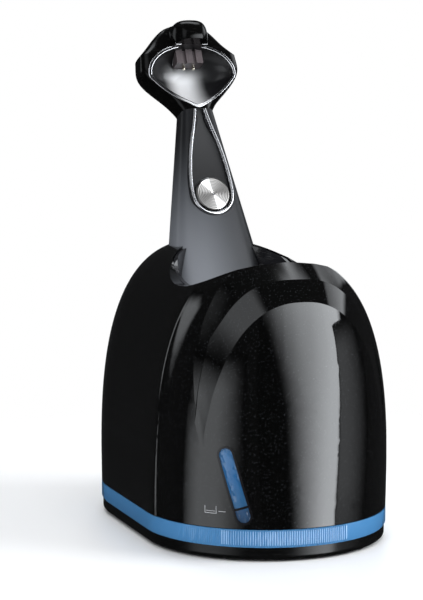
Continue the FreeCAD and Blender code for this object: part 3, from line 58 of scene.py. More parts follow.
CAMERA_TURN = math.radians(-19.862)       # bearing from the front, positive towards +X
CAMERA_RISE = math.radians(6.642)
CAMERA_PLACE = (-0.31789, -0.84392, 0.20206)
CAMERA_LENS = 125.83
CAMERA_SENSOR = 36
LIT_CENTRE = Vector((0, -0.02, 0.1))      # what lamps and panels face
FLOOR_R = 0.36
FLOOR_FADE = (0.12, 0.3)                  # the floor melts into the air between these radii

FRONT_CENTRE = Vector((0, -0.028, 0))     # middle of the footprint's round front end
SIDE_R = 0.052                            # and its radius, which is half the ring's width
LEAN = math.radians(25.45)
HEAD = Vector((0, 0.059, 0.193))
TOWER = Matrix.Translation(HEAD) @ Matrix.Rotation(-LEAN, 4, "X")   # Z up the tower, Y into it
OUT_OF_TOWER = TOWER.to_3x3() @ Vector((0, -1, 0))
INTO_TOWER = TOWER.to_3x3() @ Vector((0, 1, 0))
UP_TOWER = TOWER.to_3x3() @ Vector((0, 0, 1))

BUTTON_H = -0.0575                        # start button's middle, along the tower
BUTTON_R = 0.0078
BUTTON_FRONT = -0.0005                    # its face and its back, into the tower
BUTTON_BACK = 0.0024
BUTTON_DIMPLE_R = 0.0005
BUTTON_RIM = 0.0011                       # plain rim outside the rings in its face
BUTTON_ROUND = ((0.0007, 0), (0.00025, 0.00008), (0, 0.0004))   # steps of its rounding: inwards, down
BUTTON_BREAK = 0.0001                     # broken edge at its back
GROOVE_DEPTH = 0.0001
GROOVE_START = 0.0009                     # first ring's radius
GROOVE_PITCH = 0.00072
CREST_FROM = 0.0002                       # a ring's top runs between these, from its inner foot
CREST_TO = 0.00042
CREST_END = 0.00058                       # and its outer foot lies here
STEM_R = 0.002
STEM_END = 0.0072

RING_LOW = 0.006                          # ring's lower and upper edges
RING_TOP = 0.0133
RING_CHAMFER = 0.0005
RING_WALL_SNAP = 0.0002                   # a point this near to the ring's outer wall lies on it
RIB_PITCH = 0.001
RIB_DEPTH = 0.00045
RIB_CUTS = 4                              # cuts across each rib
RIB_EDGE = 0.0006                         # plain band above the ribs
RIB_FOOT = 0.001                          # and below them
RIB_FROM = math.radians(-63)              # the ribs run between these bearings
RIB_TO = math.radians(20)
RIB_FADE_IN = math.radians(30)            # and take this turn to reach their full depth
RIB_FADE_OUT = math.radians(1)
# the rib tops carry a painted highlight from this bearing on to RIB_TO
RIB_HIGHLIGHT_FROM = math.radians(-40)
RIB_HIGHLIGHT_SHARE = 0.4                      # rib tops within this share of their depth carry the painted highlight
RIB_SIDE = 0.02                           # a cut reaches faces this far out on its own side

WINDOW_TURN = math.radians(-33.7)
WINDOW_CHAMFER = 0.0009                   # width of the lens's chamfer
WINDOW_DROP = 0.0003                      # and its depth

SIGN_TURN = math.radians(-45)
SIGN_FOOT = 0.0193                        # height of the vessel's lower edge
SIGN_WIDE = 0.0052
SIGN_TALL = 0.0031
SIGN_LINE = 0.00026
SIGN_FINE = SIGN_LINE * 0.8
SIGN_LEVEL = 0.0009                       # liquid line over the vessel's floor
SIGN_LEVEL_WIDE = SIGN_WIDE * 0.78
SIGN_DASH = 0.003
SIGN_DASH_AT = SIGN_WIDE / 2 + 0.0024
SIGN_THICK = 0.00004
SIGN_CLEAR = 0.00003                      # print stands off the shell by this

TRIM_TOP = -0.0166                        # trim's open end, along the tower
TRIM_SINK = 0.0005                        # bead's middle below the trim's face
TRIM_GROOVE = 0.0008                      # depth of the groove that it stands in
TRIM_BEAD = 0.0008                        # bead's radius
TRIM_SMOOTHING = 30                       # rounds of smoothing along the bead
CUP_LINE_R = 0.00016
CUP_LINE_LEAST = 0.02                     # shorter edges of the rim get no line
CUP_LINE_CREASE = math.radians(25)        # nor do flatter ones

GRIP_RIDGES = 4
GRIP_FOOT = 0.0602                        # height of the lowest ridge
GRIP_PITCH = 0.0027
GRIP_TOP = GRIP_FOOT + 3.2 * GRIP_PITCH   # the ridges follow the button's face up to here
GRIP_WIDE = 0.024
GRIP_DEEP = 0.0012
GRIP_TALL = 0.0011
GRIP_ROUND = 0.0004
GRIP_SINK = 0.0003                        # a ridge sinks this far below the skin
GRIP_PARTS = 16                           # a ridge bends in this many parts

START_TRAVEL = 0.0012                     # how far the springs are pressed
LIFT_TRAVEL = 0.004
PIN_TRAVEL = 0.0015


# ---------------------------------------------------------------- shader helpers
def new_finish(name):
    """Material with its node tree and its shader."""
    finish = bpy.data.materials.new(name)
    finish.use_nodes = True
    tree = finish.node_tree
    return finish, tree, tree.nodes["Principled BSDF"]


def add_node(tree, kind, **values):
    """New node with its settings."""
    node = tree.nodes.new(kind)
    for key, value in values.items():
        setattr(node, key, value)
    return node


def plug(tree, source, socket):
    """Feeds a socket from another node's output, or sets it to a plain value."""
    if isinstance(source, bpy.types.NodeSocket):
        tree.links.new(source, socket)
    else:
        socket.default_value = source


def calculate(tree, operation, *sources, clamp=False):
    """Result of a sum on outputs and plain numbers."""
    node = add_node(tree, "ShaderNodeMath", operation=operation, use_clamp=clamp)
    for source, socket in zip(sources, node.inputs):
        plug(tree, source, socket)
    return node.outputs[0]


def climb(tree, source, start, stop, kind="SMOOTHSTEP"):
    """Mask that goes from 0 where the source is at start to 1 where it is at stop."""
    node = add_node(tree, "ShaderNodeMapRange", interpolation_type=kind)
    plug(tree, source, node.inputs["Value"])
    plug(tree, start, node.inputs["From Min"])
    plug(tree, stop, node.inputs["From Max"])
    return node.outputs[0]


def blend_tones(tree, share, first, second):
    """Colour between two colours."""
    node = add_node(tree, "ShaderNodeMix", data_type="RGBA")
    plug(tree, share, node.inputs["Factor"])
    plug(tree, first, node.inputs[6])
    plug(tree, second, node.inputs[7])
    return node.outputs[2]


def blend_shaders(tree, share, first, second):
    """Surface or air between two others."""
    node = add_node(tree, "ShaderNodeMixShader")
    for source, socket in zip((share, first, second), node.inputs):
        plug(tree, source, socket)
    return node.outputs[0]


def own_place(tree):
    """Object coordinates."""
    return add_node(tree, "ShaderNodeTexCoord").outputs["Object"]


def split(tree, place):
    """The three parts of a place."""
    node = add_node(tree, "ShaderNodeSeparateXYZ")
    plug(tree, place, node.inputs[0])
    return node.outputs


def mapped(tree, place, kind="POINT", **values):
    """A place stretched and turned, or with kind TEXTURE seen from another centre."""
    node = add_node(tree, "ShaderNodeMapping", vector_type=kind)
    plug(tree, place, node.inputs["Vector"])
    for label, value in values.items():
        plug(tree, value, node.inputs[label])
    return node.outputs[0]


def noise(tree, place, scale, detail):
    """Cloudy mask."""
    node = add_node(tree, "ShaderNodeTexNoise")
    plug(tree, place, node.inputs["Vector"])
    plug(tree, scale, node.inputs["Scale"])
    plug(tree, detail, node.inputs["Detail"])
    return node.outputs["Fac"]


# ---------------------------------------------------------------- camera, light, floor
def bearing(turn, rise=0):
    """Way out from the part at a bearing from the front, towards +X, and a height angle."""
    return Vector((math.sin(turn) * math.cos(rise), -math.cos(turn) * math.cos(rise), math.sin(rise)))


def place_camera():
    """Camera at the viewing angle, upright."""
    back = bearing(CAMERA_TURN, CAMERA_RISE)
    right = Vector((math.cos(CAMERA_TURN), math.sin(CAMERA_TURN), 0))
    lens = bpy.data.cameras.new("camera")
    lens.sensor_fit = "VERTICAL"
    lens.sensor_height = CAMERA_SENSOR
    lens.lens = CAMERA_LENS
    lens.clip_start = 0.01
    camera = bpy.data.objects.new("camera", lens)
    pose = Matrix((right, back.cross(right), back)).transposed().to_4x4()
    pose.translation = CAMERA_PLACE
    camera.matrix_world = pose
    scene.collection.objects.link(camera)
    scene.camera = camera


def air(tree, color, strength):
    """Plain glowing air."""
    node = add_node(tree, "ShaderNodeBackground")
    node.inputs["Color"].default_value = (*color, 1)
    node.inputs["Strength"].default_value = strength
    return node.outputs[0]


def light_the_air():
    """Pale to the eye, a soft even light on the part, and a dim room in its gloss."""
    world = bpy.data.worlds.new("air")
    world.use_nodes = True
    scene.world = world
    tree = world.node_tree
    tree.nodes.clear()
    path = add_node(tree, "ShaderNodeLightPath").outputs
    soft = air(tree, (0.95, 0.97, 1), 0.5)
    dim = air(tree, (0.95, 0.97, 1), 0.02)
    lit = blend_shaders(tree, path["Is Glossy Ray"], soft, dim)
    seen = calculate(tree, "MAXIMUM", path["Is Camera Ray"], path["Is Transmission Ray"])
    out = add_node(tree, "ShaderNodeOutputWorld")
    plug(tree, blend_shaders(tree, seen, lit, air(tree, (1, 1, 1), 1)), out.inputs[0])


def facing_the_part(turn, rise, distance):
    """Pose, at a bearing and height angle in degrees, of something that faces the part."""
    way = bearing(math.radians(turn), math.radians(rise))
    return Matrix.Translation(LIT_CENTRE + way * distance) @ way.to_track_quat("Z", "Y").to_matrix().to_4x4()


def soft_panel(name, turn, rise, distance, width, height, strength,
               ramp=0.4, low_end=0.2, high_end=0.2, far_end=0.3, fan=0.0, waist=0.3):
    """Glowing panel that faces the part, seen in its gloss alone.

    Its glow rises over the share ramp of its width and falls again over shares of its lower, upper and far
    edges. With a fan, the glow narrows downwards, as far as its waist.
    """
    form = bmesh.new()
    bmesh.ops.create_grid(form, x_segments=1, y_segments=1, size=0.5)
    mesh = bpy.data.meshes.new(name)
    form.to_mesh(mesh)
    form.free()
    panel = bpy.data.objects.new(name, mesh)
    panel.matrix_world = facing_the_part(turn, rise, distance) @ Matrix.Diagonal((width, height, 1, 1))
    scene.collection.objects.link(panel)
    glow = bpy.data.materials.new(name)
    glow.use_nodes = True
    tree = glow.node_tree
    tree.nodes.clear()
    x, y, _ = split(tree, own_place(tree))
    spread = calculate(tree, "MULTIPLY_ADD", y, fan, 1 - fan / 2)
    across = calculate(tree, "DIVIDE", x, calculate(tree, "MAXIMUM", spread, waist))
    light = strength
    for reach, edge, share in ((across, -0.5, ramp), (across, 0.5, -far_end),
                               (y, -0.5, low_end), (y, 0.5, -high_end)):
        light = calculate(tree, "MULTIPLY", light, climb(tree, reach, edge, edge + share))
    lamp = add_node(tree, "ShaderNodeEmission")
    lamp.inputs["Color"].default_value = (0.93, 0.965, 1, 1)
    plug(tree, light, lamp.inputs["Strength"])
    plug(tree, lamp.outputs[0], add_node(tree, "ShaderNodeOutputMaterial").inputs[0])
    mesh.materials.append(glow)
    panel.visible_camera = False
    panel.visible_shadow = False
    panel.visible_diffuse = False


def soft_lamp(name, turn, rise, distance, size, power):
    """Large lamp that shapes the forms but leaves no mark of its own in the gloss."""
    lamp = bpy.data.lights.new(name, "AREA")
    lamp.shape = "SQUARE"
    lamp.size = size
    lamp.energy = power
    holder = bpy.data.objects.new(name, lamp)
    holder.matrix_world = facing_the_part(turn, rise, distance)
    holder.visible_glossy = False
    scene.collection.objects.link(holder)


def lay_floor():
    """Pale round floor that melts into the air at its edge."""
    form = bmesh.new()
    bmesh.ops.create_circle(form, cap_ends=True, segments=96, radius=FLOOR_R)
    mesh = bpy.data.meshes.new("floor")
    form.to_mesh(mesh)
    form.free()
    floor = bpy.data.objects.new("floor", mesh)
    scene.collection.objects.link(floor)
    paint, tree, shader = new_finish("pale floor")
    shader.inputs["Base Color"].default_value = (0.93, 0.94, 0.95, 1)
    shader.inputs["Roughness"].default_value = 0.35
    reach = add_node(tree, "ShaderNodeVectorMath", operation="LENGTH")
    plug(tree, own_place(tree), reach.inputs[0])
    clear = add_node(tree, "ShaderNodeBsdfTransparent").outputs[0]
    surface = blend_shaders(tree, climb(tree, reach.outputs["Value"], *FLOOR_FADE), shader.outputs[0], clear)
    plug(tree, surface, tree.nodes["Material Output"].inputs[0])
    mesh.materials.append(paint)
    floor.visible_glossy = False


place_camera()
light_the_air()
lay_floor()

# Name, bearing and rise in degrees, distance, width, height, strength.
soft_panel("key panel", 26, 8, 1.0, 2.35, 1.5, 6.8, ramp=0.78, low_end=0.08, high_end=0.12, far_end=0.1,
           fan=0.95, waist=0.38)
soft_panel("side glow panel", 67, -3, 0.95, 0.68, 0.7, 0.75, ramp=0.06, high_end=0.3, far_end=0.9)
soft_panel("right panel", 101, 31, 0.95, 0.95, 0.4, 2.2, ramp=0.6)
soft_panel("left panel", -67, 36, 1.0, 0.7, 1.1, 1.0, ramp=0.4, low_end=0.5)
soft_panel("left low panel", -66, -5, 1.02, 1.25, 0.66, 1.45, ramp=0.3, low_end=0.05, high_end=0.4,
           far_end=0.52)
soft_panel("crest panel", 166, 62, 1.0, 1.0, 0.4, 2.9, ramp=0.3)
soft_panel("back right panel", 150, 8, 1.1, 0.4, 0.5, 0.9)
soft_panel("back left panel", -140, 12, 1.1, 0.4, 0.7, 0.9)

# Name, bearing and rise in degrees, distance, size, power.
soft_lamp("front light", -35, 30, 1.3, 0.8, 6.8)
soft_lamp("side light", 60, 30, 1.3, 0.8, 14)
soft_lamp("back light", 175, 40, 1.3, 0.8, 8)
soft_lamp("high light", 0, 85, 1.3, 0.9, 6)


# ---------------------------------------------------------------- shared effects
def new_group(name, inputs, outputs):
    """Node group, with its inputs and its outputs as they show inside it."""
    group = bpy.data.node_groups.new(name, "ShaderNodeTree")
    for label, kind, value in inputs:
        socket = group.interface.new_socket(label, in_out="INPUT", socket_type=kind)
        socket.default_value = value
    for label, kind in outputs:
        group.interface.new_socket(label, in_out="OUTPUT", socket_type=kind)
    return group, add_node(group, "NodeGroupInput").outputs, add_node(group, "NodeGroupOutput").inputs


def make_moulded_skin():
    """Slow drift in polish, and a faint waviness of the moulded face."""
    group, given, result = new_group("moulded skin", [
        ("Roughness", "NodeSocketFloat", 0.2),
        ("Drift", "NodeSocketFloat", 0.04),
        ("Grain Scale", "NodeSocketFloat", 2500.0),
    ], [("Roughness", "NodeSocketFloat"), ("Height", "NodeSocketFloat")])
    place = own_place(group)
    clouds = calculate(group, "SUBTRACT", noise(group, place, scale=26, detail=4), 0.5)
    drift = calculate(group, "MULTIPLY", clouds, given["Drift"])
    plug(group, calculate(group, "ADD", drift, given["Roughness"], clamp=True), result["Roughness"])
    plug(group, noise(group, place, scale=given["Grain Scale"], detail=2), result["Height"])
    return group


def make_pearl_fleck():
    """Fine bright specks held in a dark lacquer, some brighter than others."""
    group, given, result = new_group("pearl fleck", [
        ("Ground", "NodeSocketColor", (0.008, 0.008, 0.01, 1)),
        ("Fleck", "NodeSocketColor", (0.2, 0.21, 0.23, 1)),
        ("Scale", "NodeSocketFloat", 3300.0),
        ("Share", "NodeSocketFloat", 0.2),
    ], [("Color", "NodeSocketColor")])
    cells = add_node(group, "ShaderNodeTexVoronoi", feature="F1")
    plug(group, own_place(group), cells.inputs["Vector"])
    plug(group, given["Scale"], cells.inputs["Scale"])
    pick = add_node(group, "ShaderNodeSeparateColor")
    plug(group, cells.outputs["Color"], pick.inputs[0])
    chosen = calculate(group, "LESS_THAN", pick.outputs["Red"], given["Share"])
    speck = calculate(group, "MULTIPLY", chosen, climb(group, cells.outputs["Distance"], 0.34, 0.12))
    glint = calculate(group, "MULTIPLY", speck, pick.outputs["Green"])
    plug(group, blend_tones(group, glint, given["Ground"], given["Fleck"]), result["Color"])
    return group


def make_handling_marks():
    """Thin scuffs and a trace of dust: lightens the colour and dulls the polish in patches."""
    group, given, result = new_group("handling marks", [
        ("Color", "NodeSocketColor", (0.1, 0.1, 0.1, 1)),
        ("Roughness", "NodeSocketFloat", 0.3),
        ("Amount", "NodeSocketFloat", 0.2),
    ], [("Color", "NodeSocketColor"), ("Roughness", "NodeSocketFloat")])
    place = mapped(group, own_place(group), Scale=(1, 1, 7), Rotation=(0.4, 0.7, 0.2))
    patches = climb(group, noise(group, place, scale=240, detail=6), 0.56, 0.78, "LINEAR")
    amount = calculate(group, "MULTIPLY", patches, given["Amount"])
    plug(group, blend_tones(group, amount, given["Color"], (0.32, 0.32, 0.31, 1)), result["Color"])
    dulled = calculate(group, "MULTIPLY_ADD", amount, 0.35, given["Roughness"], clamp=True)
    plug(group, dulled, result["Roughness"])
    return group


SKIN = make_moulded_skin()
FLECK = make_pearl_fleck()
MARKS = make_handling_marks()


def use_group(tree, group, **values):
    """Outputs of a group placed in a tree; an underscore in a value's name stands for a space."""
    node = add_node(tree, "ShaderNodeGroup", node_tree=group)
    for label, value in values.items():
        plug(tree, value, node.inputs[label.replace("_", " ")])
    return node.outputs


def bump(tree, shader, height, distance):
    """Relief of a given depth."""
    node = add_node(tree, "ShaderNodeBump")
    node.inputs["Distance"].default_value = distance
    plug(tree, height, node.inputs["Height"])
    plug(tree, node.outputs[0], shader.inputs["Normal"])


def coat(shader, weight, roughness):
    """Clear layer over a finish."""
    shader.inputs["Coat Weight"].default_value = weight
    shader.inputs["Coat Roughness"].default_value = roughness


# ---------------------------------------------------------------- finishes
def plastic(name, color, roughness, drift=0.04, grain=2500.0, depth=0.000004, marks=0.12,
            clear=0.0, gloss=0.5):
    """Moulded plastic: colour, drifting polish, fine grain and light handling marks."""
    finish, tree, shader = new_finish(name)
    skin = use_group(tree, SKIN, Roughness=roughness, Drift=drift, Grain_Scale=grain)
    wear = use_group(tree, MARKS, Color=(*color, 1), Amount=marks, Roughness=skin["Roughness"])
    plug(tree, wear["Color"], shader.inputs["Base Color"])
    plug(tree, wear["Roughness"], shader.inputs["Roughness"])
    shader.inputs["Specular IOR Level"].default_value = gloss
    coat(shader, clear, 0.05)
    bump(tree, shader, skin["Height"], depth)
    return finish


def pearl_lacquer(name, ground, fleck, share, roughness):
    """Dark gloss with the fine fleck."""
    finish, tree, shader = new_finish(name)
    skin = use_group(tree, SKIN, Roughness=roughness, Drift=0.015, Grain_Scale=900.0)
    specks = use_group(tree, FLECK, Ground=(*ground, 1), Fleck=(*fleck, 1), Share=share, Scale=2400.0)
    plug(tree, specks["Color"], shader.inputs["Base Color"])
    plug(tree, skin["Roughness"], shader.inputs["Roughness"])
    coat(shader, 0.35, 0.03)
    bump(tree, shader, skin["Height"], 0.000001)
    return finish


def metal(name, color, roughness, scale=(60, 60, 1200), depth=0.000003, drift=0.08):
    """Metal with a fine grain, drawn along the axes whose scale is small."""
    finish, tree, shader = new_finish(name)
    lines = noise(tree, mapped(tree, own_place(tree), Scale=scale), scale=5, detail=5)
    dark = (*[channel * 0.82 for channel in color], 1)
    skin = use_group(tree, SKIN, Roughness=roughness, Drift=drift, Grain_Scale=1400.0)
    plug(tree, blend_tones(tree, lines, dark, (*color, 1)), shader.inputs["Base Color"])
    plug(tree, skin["Roughness"], shader.inputs["Roughness"])
    shader.inputs["Metallic"].default_value = 1
    bump(tree, shader, lines, depth)
    return finish


def tower_lacquer_painted_light():
    """Satin lacquer, painted light and shade: graphite low on the tower towards -X, near black at top and
    towards +X.
    """
    finish, tree, shader = new_finish("satin graphite tower, painted light and shade")
    x, _, z = split(tree, own_place(tree))
    # painted light low on the tower towards -X, painted shade at its top and towards +X
    lit = calculate(tree, "MULTIPLY", climb(tree, z, 0.17, 0.095), climb(tree, x, 0.019, -0.02))
    skin = use_group(tree, SKIN, Roughness=0.3, Drift=0.03, Grain_Scale=1600.0)
    tone = blend_tones(tree, lit, (0.012, 0.0125, 0.014, 1), (0.23, 0.245, 0.272, 1))
    plug(tree, tone, shader.inputs["Base Color"])
    plug(tree, skin["Roughness"], shader.inputs["Roughness"])
    shader.inputs["Specular IOR Level"].default_value = 0.2
    bump(tree, shader, skin["Height"], 0.000005)
    return finish


def circuit_board():
    """Green board with faint copper runs."""
    finish, tree, shader = new_finish("green circuit board")
    runs = add_node(tree, "ShaderNodeTexBrick")
    plug(tree, mapped(tree, own_place(tree), Rotation=(math.pi / 2, 0, 0)), runs.inputs["Vector"])
    runs.inputs["Scale"].default_value = 260
    runs.inputs["Color1"].default_value = (0.015, 0.1, 0.04, 1)
    runs.inputs["Color2"].default_value = (0.012, 0.085, 0.035, 1)
    runs.inputs["Mortar"].default_value = (0.05, 0.2, 0.09, 1)
    runs.inputs["Mortar Size"].default_value = 0.05
    skin = use_group(tree, SKIN, Roughness=0.3, Drift=0.05)
    plug(tree, runs.outputs["Color"], shader.inputs["Base Color"])
    plug(tree, skin["Roughness"], shader.inputs["Roughness"])
    bump(tree, shader, runs.outputs["Fac"], 0.00003)
    return finish


def blue_lens():
    """Clear blue window over the liquid: pale at its top, darker below the mark."""
    finish, tree, shader = new_finish("blue window lens")
    _, _, z = split(tree, own_place(tree))
    tone = add_node(tree, "ShaderNodeValToRGB")
    plug(tree, climb(tree, z, 0.016, 0.046, "LINEAR"), tone.inputs["Fac"])
    ramp = tone.color_ramp.elements
    ramp[0].position = 0.17
    ramp[0].color = (0.03, 0.07, 0.145, 1)
    ramp[1].position = 1
    ramp[1].color = (0.048, 0.15, 0.325, 1)
    ramp.new(0.2).color = (0.032, 0.108, 0.225, 1)
    ramp.new(0.6).color = (0.02, 0.112, 0.28, 1)
    skin = use_group(tree, SKIN, Roughness=0.14, Drift=0.03)
    plug(tree, tone.outputs["Color"], shader.inputs["Base Color"])
    plug(tree, skin["Roughness"], shader.inputs["Roughness"])
    coat(shader, 0.6, 0.04)
    return finish


def spun_metal_painted_highlights():
    """Spun metal around the start button's axis: painted highlights in two bright sectors that face each
    other.
    """
    finish, tree, shader = new_finish("spun button metal, painted highlights")
    middle = TOWER @ Vector((0, 0, BUTTON_H))
    x, _, z = split(tree, mapped(tree, own_place(tree), "TEXTURE", Location=middle, Rotation=(-LEAN, 0, 0)))
    # painted highlights: two bright sectors that face each other across the axis
    angle = calculate(tree, "ADD", calculate(tree, "ARCTAN2", z, x), 1.1)
    wave = calculate(tree, "COSINE", calculate(tree, "MULTIPLY", angle, 2))
    tone = blend_tones(tree, climb(tree, wave, 0.72, 0.9), (0.3, 0.29, 0.28, 1), (0.8, 0.8, 0.81, 1))
    skin = use_group(tree, SKIN, Roughness=0.3, Drift=0.08)
    plug(tree, tone, shader.inputs["Base Color"])
    plug(tree, skin["Roughness"], shader.inputs["Roughness"])
    shader.inputs["Metallic"].default_value = 1
    return finish


def polished_channel_painted_highlight():
    """Dark polished metal channel over the button, with a painted highlight that makes it paler where it runs
    into the cup.
    """
    finish, tree, shader = new_finish("polished channel, painted highlight")
    _, _, z = split(tree, own_place(tree))
    # painted highlight: paler towards the cup
    tone = blend_tones(tree, climb(tree, z, 0.135, 0.178), (0.03, 0.03, 0.032, 1), (0.1, 0.102, 0.105, 1))
    skin = use_group(tree, SKIN, Roughness=0.2, Drift=0.05)
    plug(tree, tone, shader.inputs["Base Color"])
    plug(tree, skin["Roughness"], shader.inputs["Roughness"])
    shader.inputs["Metallic"].default_value = 0.6
    bump(tree, shader, skin["Height"], 0.000003)
    return finish


def satin_cup_painted_highlight():
    """Satin lining: a painted highlight, bright and partly metallic, low down its middle; black at both
    flanks; painted shade at its top.
    """
    finish, tree, shader = new_finish("satin cup lining, painted highlight and shade")
    x, _, _ = split(tree, own_place(tree))
    in_head = mapped(tree, own_place(tree), "TEXTURE", Location=HEAD, Rotation=(-LEAN, 0, 0))
    _, _, z = split(tree, in_head)
    aside = calculate(tree, "ABSOLUTE", calculate(tree, "ADD", x, 0.0015))
    # painted highlight down the cup's middle, ending in painted shade towards its top
    lit = calculate(tree, "MULTIPLY", climb(tree, aside, 0.0105, 0.0015), climb(tree, z, 0.0095, 0.001))
    skin = use_group(tree, SKIN, Roughness=0.4, Drift=0.06)
    tone = blend_tones(tree, lit, (0.006, 0.006, 0.007, 1), (0.72, 0.73, 0.75, 1))
    plug(tree, tone, shader.inputs["Base Color"])
    plug(tree, calculate(tree, "MULTIPLY", lit, 0.3), shader.inputs["Metallic"])
    plug(tree, skin["Roughness"], shader.inputs["Roughness"])
    coat(shader, 0.3, 0.05)
    return finish


SHELL = pearl_lacquer("pearl black shell", (0.002, 0.002, 0.002), (0.09, 0.097, 0.108), 0.22, 0.06)
FOOT = plastic("black gloss foot", (0.003, 0.003, 0.003), 0.2, marks=0.03, gloss=0.3)
RING = plastic("blue trim", (0.06, 0.22, 0.46), 0.26, grain=1200.0, marks=0.03, clear=0.4)
# painted highlight: paler blue for the rib tops that catch the light
RIB_PAINTED_HIGHLIGHT = plastic("blue rib tops, painted highlight", (0.24, 0.43, 0.7), 0.24, grain=1200.0, marks=0.03, clear=0.4)
RUBBER = plastic("black rubber", (0.02, 0.02, 0.02), 0.7, drift=0.1, grain=1500.0, depth=0.00002, marks=0.25)
STEEL = metal("drawn steel", (0.62, 0.62, 0.63), 0.28)
MARK = plastic("black print", (0.006, 0.006, 0.008), 0.25, marks=0.02)
BASIN = plastic("polished black basin", (0.01, 0.01, 0.012), 0.14, marks=0.15, clear=0.3)
TUB = plastic("smoky cartridge tub", (0.04, 0.06, 0.09), 0.38, grain=1100.0, depth=0.000012, marks=0.2)
LID = plastic("blue cartridge lid", (0.06, 0.2, 0.42), 0.4, grain=1100.0, depth=0.000012, marks=0.15)
FELT = plastic("white filter felt", (0.75, 0.75, 0.71), 0.95, drift=0.05, grain=700.0, depth=0.00015,
               marks=0.1)
INNER = plastic("dark moulded parts", (0.05, 0.05, 0.055), 0.5, grain=900.0, depth=0.00002, marks=0.2)
WHITE = plastic("off-white moulding", (0.62, 0.62, 0.58), 0.42, grain=900.0, depth=0.00001, marks=0.2)
HOSE = plastic("grey silicone", (0.4, 0.4, 0.4), 0.35, grain=700.0, depth=0.00001, marks=0.1)
LEAD = plastic("black insulation", (0.015, 0.015, 0.016), 0.45, grain=900.0, depth=0.00001)
HOOD = plastic("black gloss hood", (0.002, 0.002, 0.002), 0.13, drift=0.03, marks=0.02, gloss=0.2)
CONTACT = plastic("brown-grey contact block", (0.085, 0.07, 0.075), 0.34, grain=1500.0, depth=0.00001,
                  marks=0.1)
CHROME = metal("bright trim", (0.85, 0.85, 0.87), 0.2, scale=(20, 20, 20), depth=0.000001, drift=0.03)
BRASS = metal("plated contact tips", (0.83, 0.78, 0.66), 0.16)
PRINT = plastic("pale print", (0.42, 0.43, 0.45), 0.4, marks=0.02)
RIM = metal("bright cup rim", (0.8, 0.8, 0.82), 0.16, scale=(20, 20, 20), depth=0.000001)
CUP = satin_cup_painted_highlight()
BOARD = circuit_board()
LENS = blue_lens()
BUTTON = spun_metal_painted_highlights()
CHANNEL = polished_channel_painted_highlight()
TOWER_SKIN = tower_lacquer_painted_light()

FINISHES = {
    SHELL: ["front_shell", "rear_shell", "lift_button"],
    FOOT: ["base_tray"],
    RING: ["trim_ring"],
    RUBBER: ["rubber_feet", "drain_seal", "suction_seal", "port_valves"],
    STEEL: ["guide_posts", "lift_springs", "post_screws", "housing_screws", "basin_screws", "bracket_screws",
            "pump_motor", "motor_shaft", "lift_button_spring", "start_button_spring", "contact_spring_left",
            "contact_spring_right"],
    MARK: ["window_bezel", "level_mark", "power_socket"],
    LENS: ["level_window"],
    BASIN: ["wash_basin"],
    TUB: ["cartridge_tub"],
    LID: ["cartridge_lid"],
    FELT: ["drain_filter"],
    INNER: ["latch_clips", "guide_sleeves", "chassis", "tower_bracket", "wash_nozzle", "start_switch",
            "release_bar", "suction_tube"],
    WHITE: ["pump_housing", "pump_cover", "impeller"],
    HOSE: ["wash_hose"],
    BOARD: ["control_board"],
    LEAD: ["power_leads", "wire_harness"],
    TOWER_SKIN: ["tower_front", "tower_rear"],
    CHANNEL: ["cradle_insert"],
    CHROME: ["cradle_trim"],
    BUTTON: ["start_button"],
    HOOD: ["head_hood", "head_cup"],
    CONTACT: ["contact_block"],
    BRASS: ["contact_pin_left", "contact_pin_right"],
}


def dress_nodes():
    """Gives every node its finish."""
    for finish, names in FINISHES.items():
        for name in names:
            mesh = nodes[name].data
            mesh.materials.clear()
            mesh.materials.append(finish)


dress_nodes()


# ---------------------------------------------------------------- shaping helpers
def add_piece(name, form, body, slot, finishes, *stands_for):
    """Makes a form a piece that rides a body, and that may stand for a CAD node."""
    mesh = bpy.data.meshes.new(name)
    form.to_mesh(mesh)
    form.free()
    for finish in finishes:
        mesh.materials.append(finish)
    piece = bpy.data.objects.new(name, mesh)
    scene.collection.objects.link(piece)
    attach(piece, body)
    if stands_for:
        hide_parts(*stands_for)
    return piece


def shade(form, crease=35):
    """Smooth shading that breaks where two faces meet more sharply than the crease angle."""
    for face in form.faces:
        face.smooth = True
    for edge in form.edges:
        edge.smooth = len(edge.link_faces) == 2 and edge.calc_face_angle(0) < math.radians(crease)


def copy_of(name):
    """Closed mesh of a CAD node, with its loose triangles joined."""
    form = bmesh.new()
    form.from_mesh(nodes[name].data)
    bmesh.ops.remove_doubles(form, verts=form.verts, dist=WELD)
    return form


def cut(form, faces, place, way):
    """Cuts some of a form's faces along the plane through a place, square to way."""
    edges = list({edge for face in faces for edge in face.edges})
    verts = list({vert for face in faces for vert in face.verts})
    bmesh.ops.bisect_plane(form, geom=verts + edges + faces, plane_co=place, plane_no=way, dist=CUT)


def turned(form, profile, place):
    """Solid turned about its own Z from a profile of radius and height pairs, then set in place."""
    points = [form.verts.new((radius, 0, height)) for radius, height in profile]
    edges = [form.edges.new(pair) for pair in zip(points, points[1:])]
    bmesh.ops.spin(form, geom=points + edges, cent=(0, 0, 0), axis=(0, 0, 1), angle=2 * math.pi,
                   steps=TURN_STEPS, use_merge=True)
    bmesh.ops.remove_doubles(form, verts=form.verts, dist=WELD)
    bmesh.ops.recalc_face_normals(form, faces=form.faces)
    bmesh.ops.transform(form, matrix=place, verts=form.verts)


def facing(form, way, least):
    """Faces that point along way: the cosine of their angle to it is more than least."""
    return [face for face in form.faces if face.normal.dot(way) > least]


def outline_of(faces):
    """Edges round a patch of faces."""
    patch = set(faces)
    return {edge for face in faces for edge in face.edges if not patch.issuperset(edge.link_faces)}


def chamfer_face(form, faces, width, drop, way):
    """Chamfers a flat face: a strip along its border is turned down against way."""
    border = {vert for edge in outline_of(faces) for vert in edge.verts}
    bmesh.ops.inset_region(form, faces=faces, thickness=width, depth=0, use_even_offset=True,
                           use_boundary=True)
    for vert in border:
        vert.co -= way * drop


def line_length(line):
    """Length of a row of points."""
    return sum((b - a).length for a, b in zip(line, line[1:]))


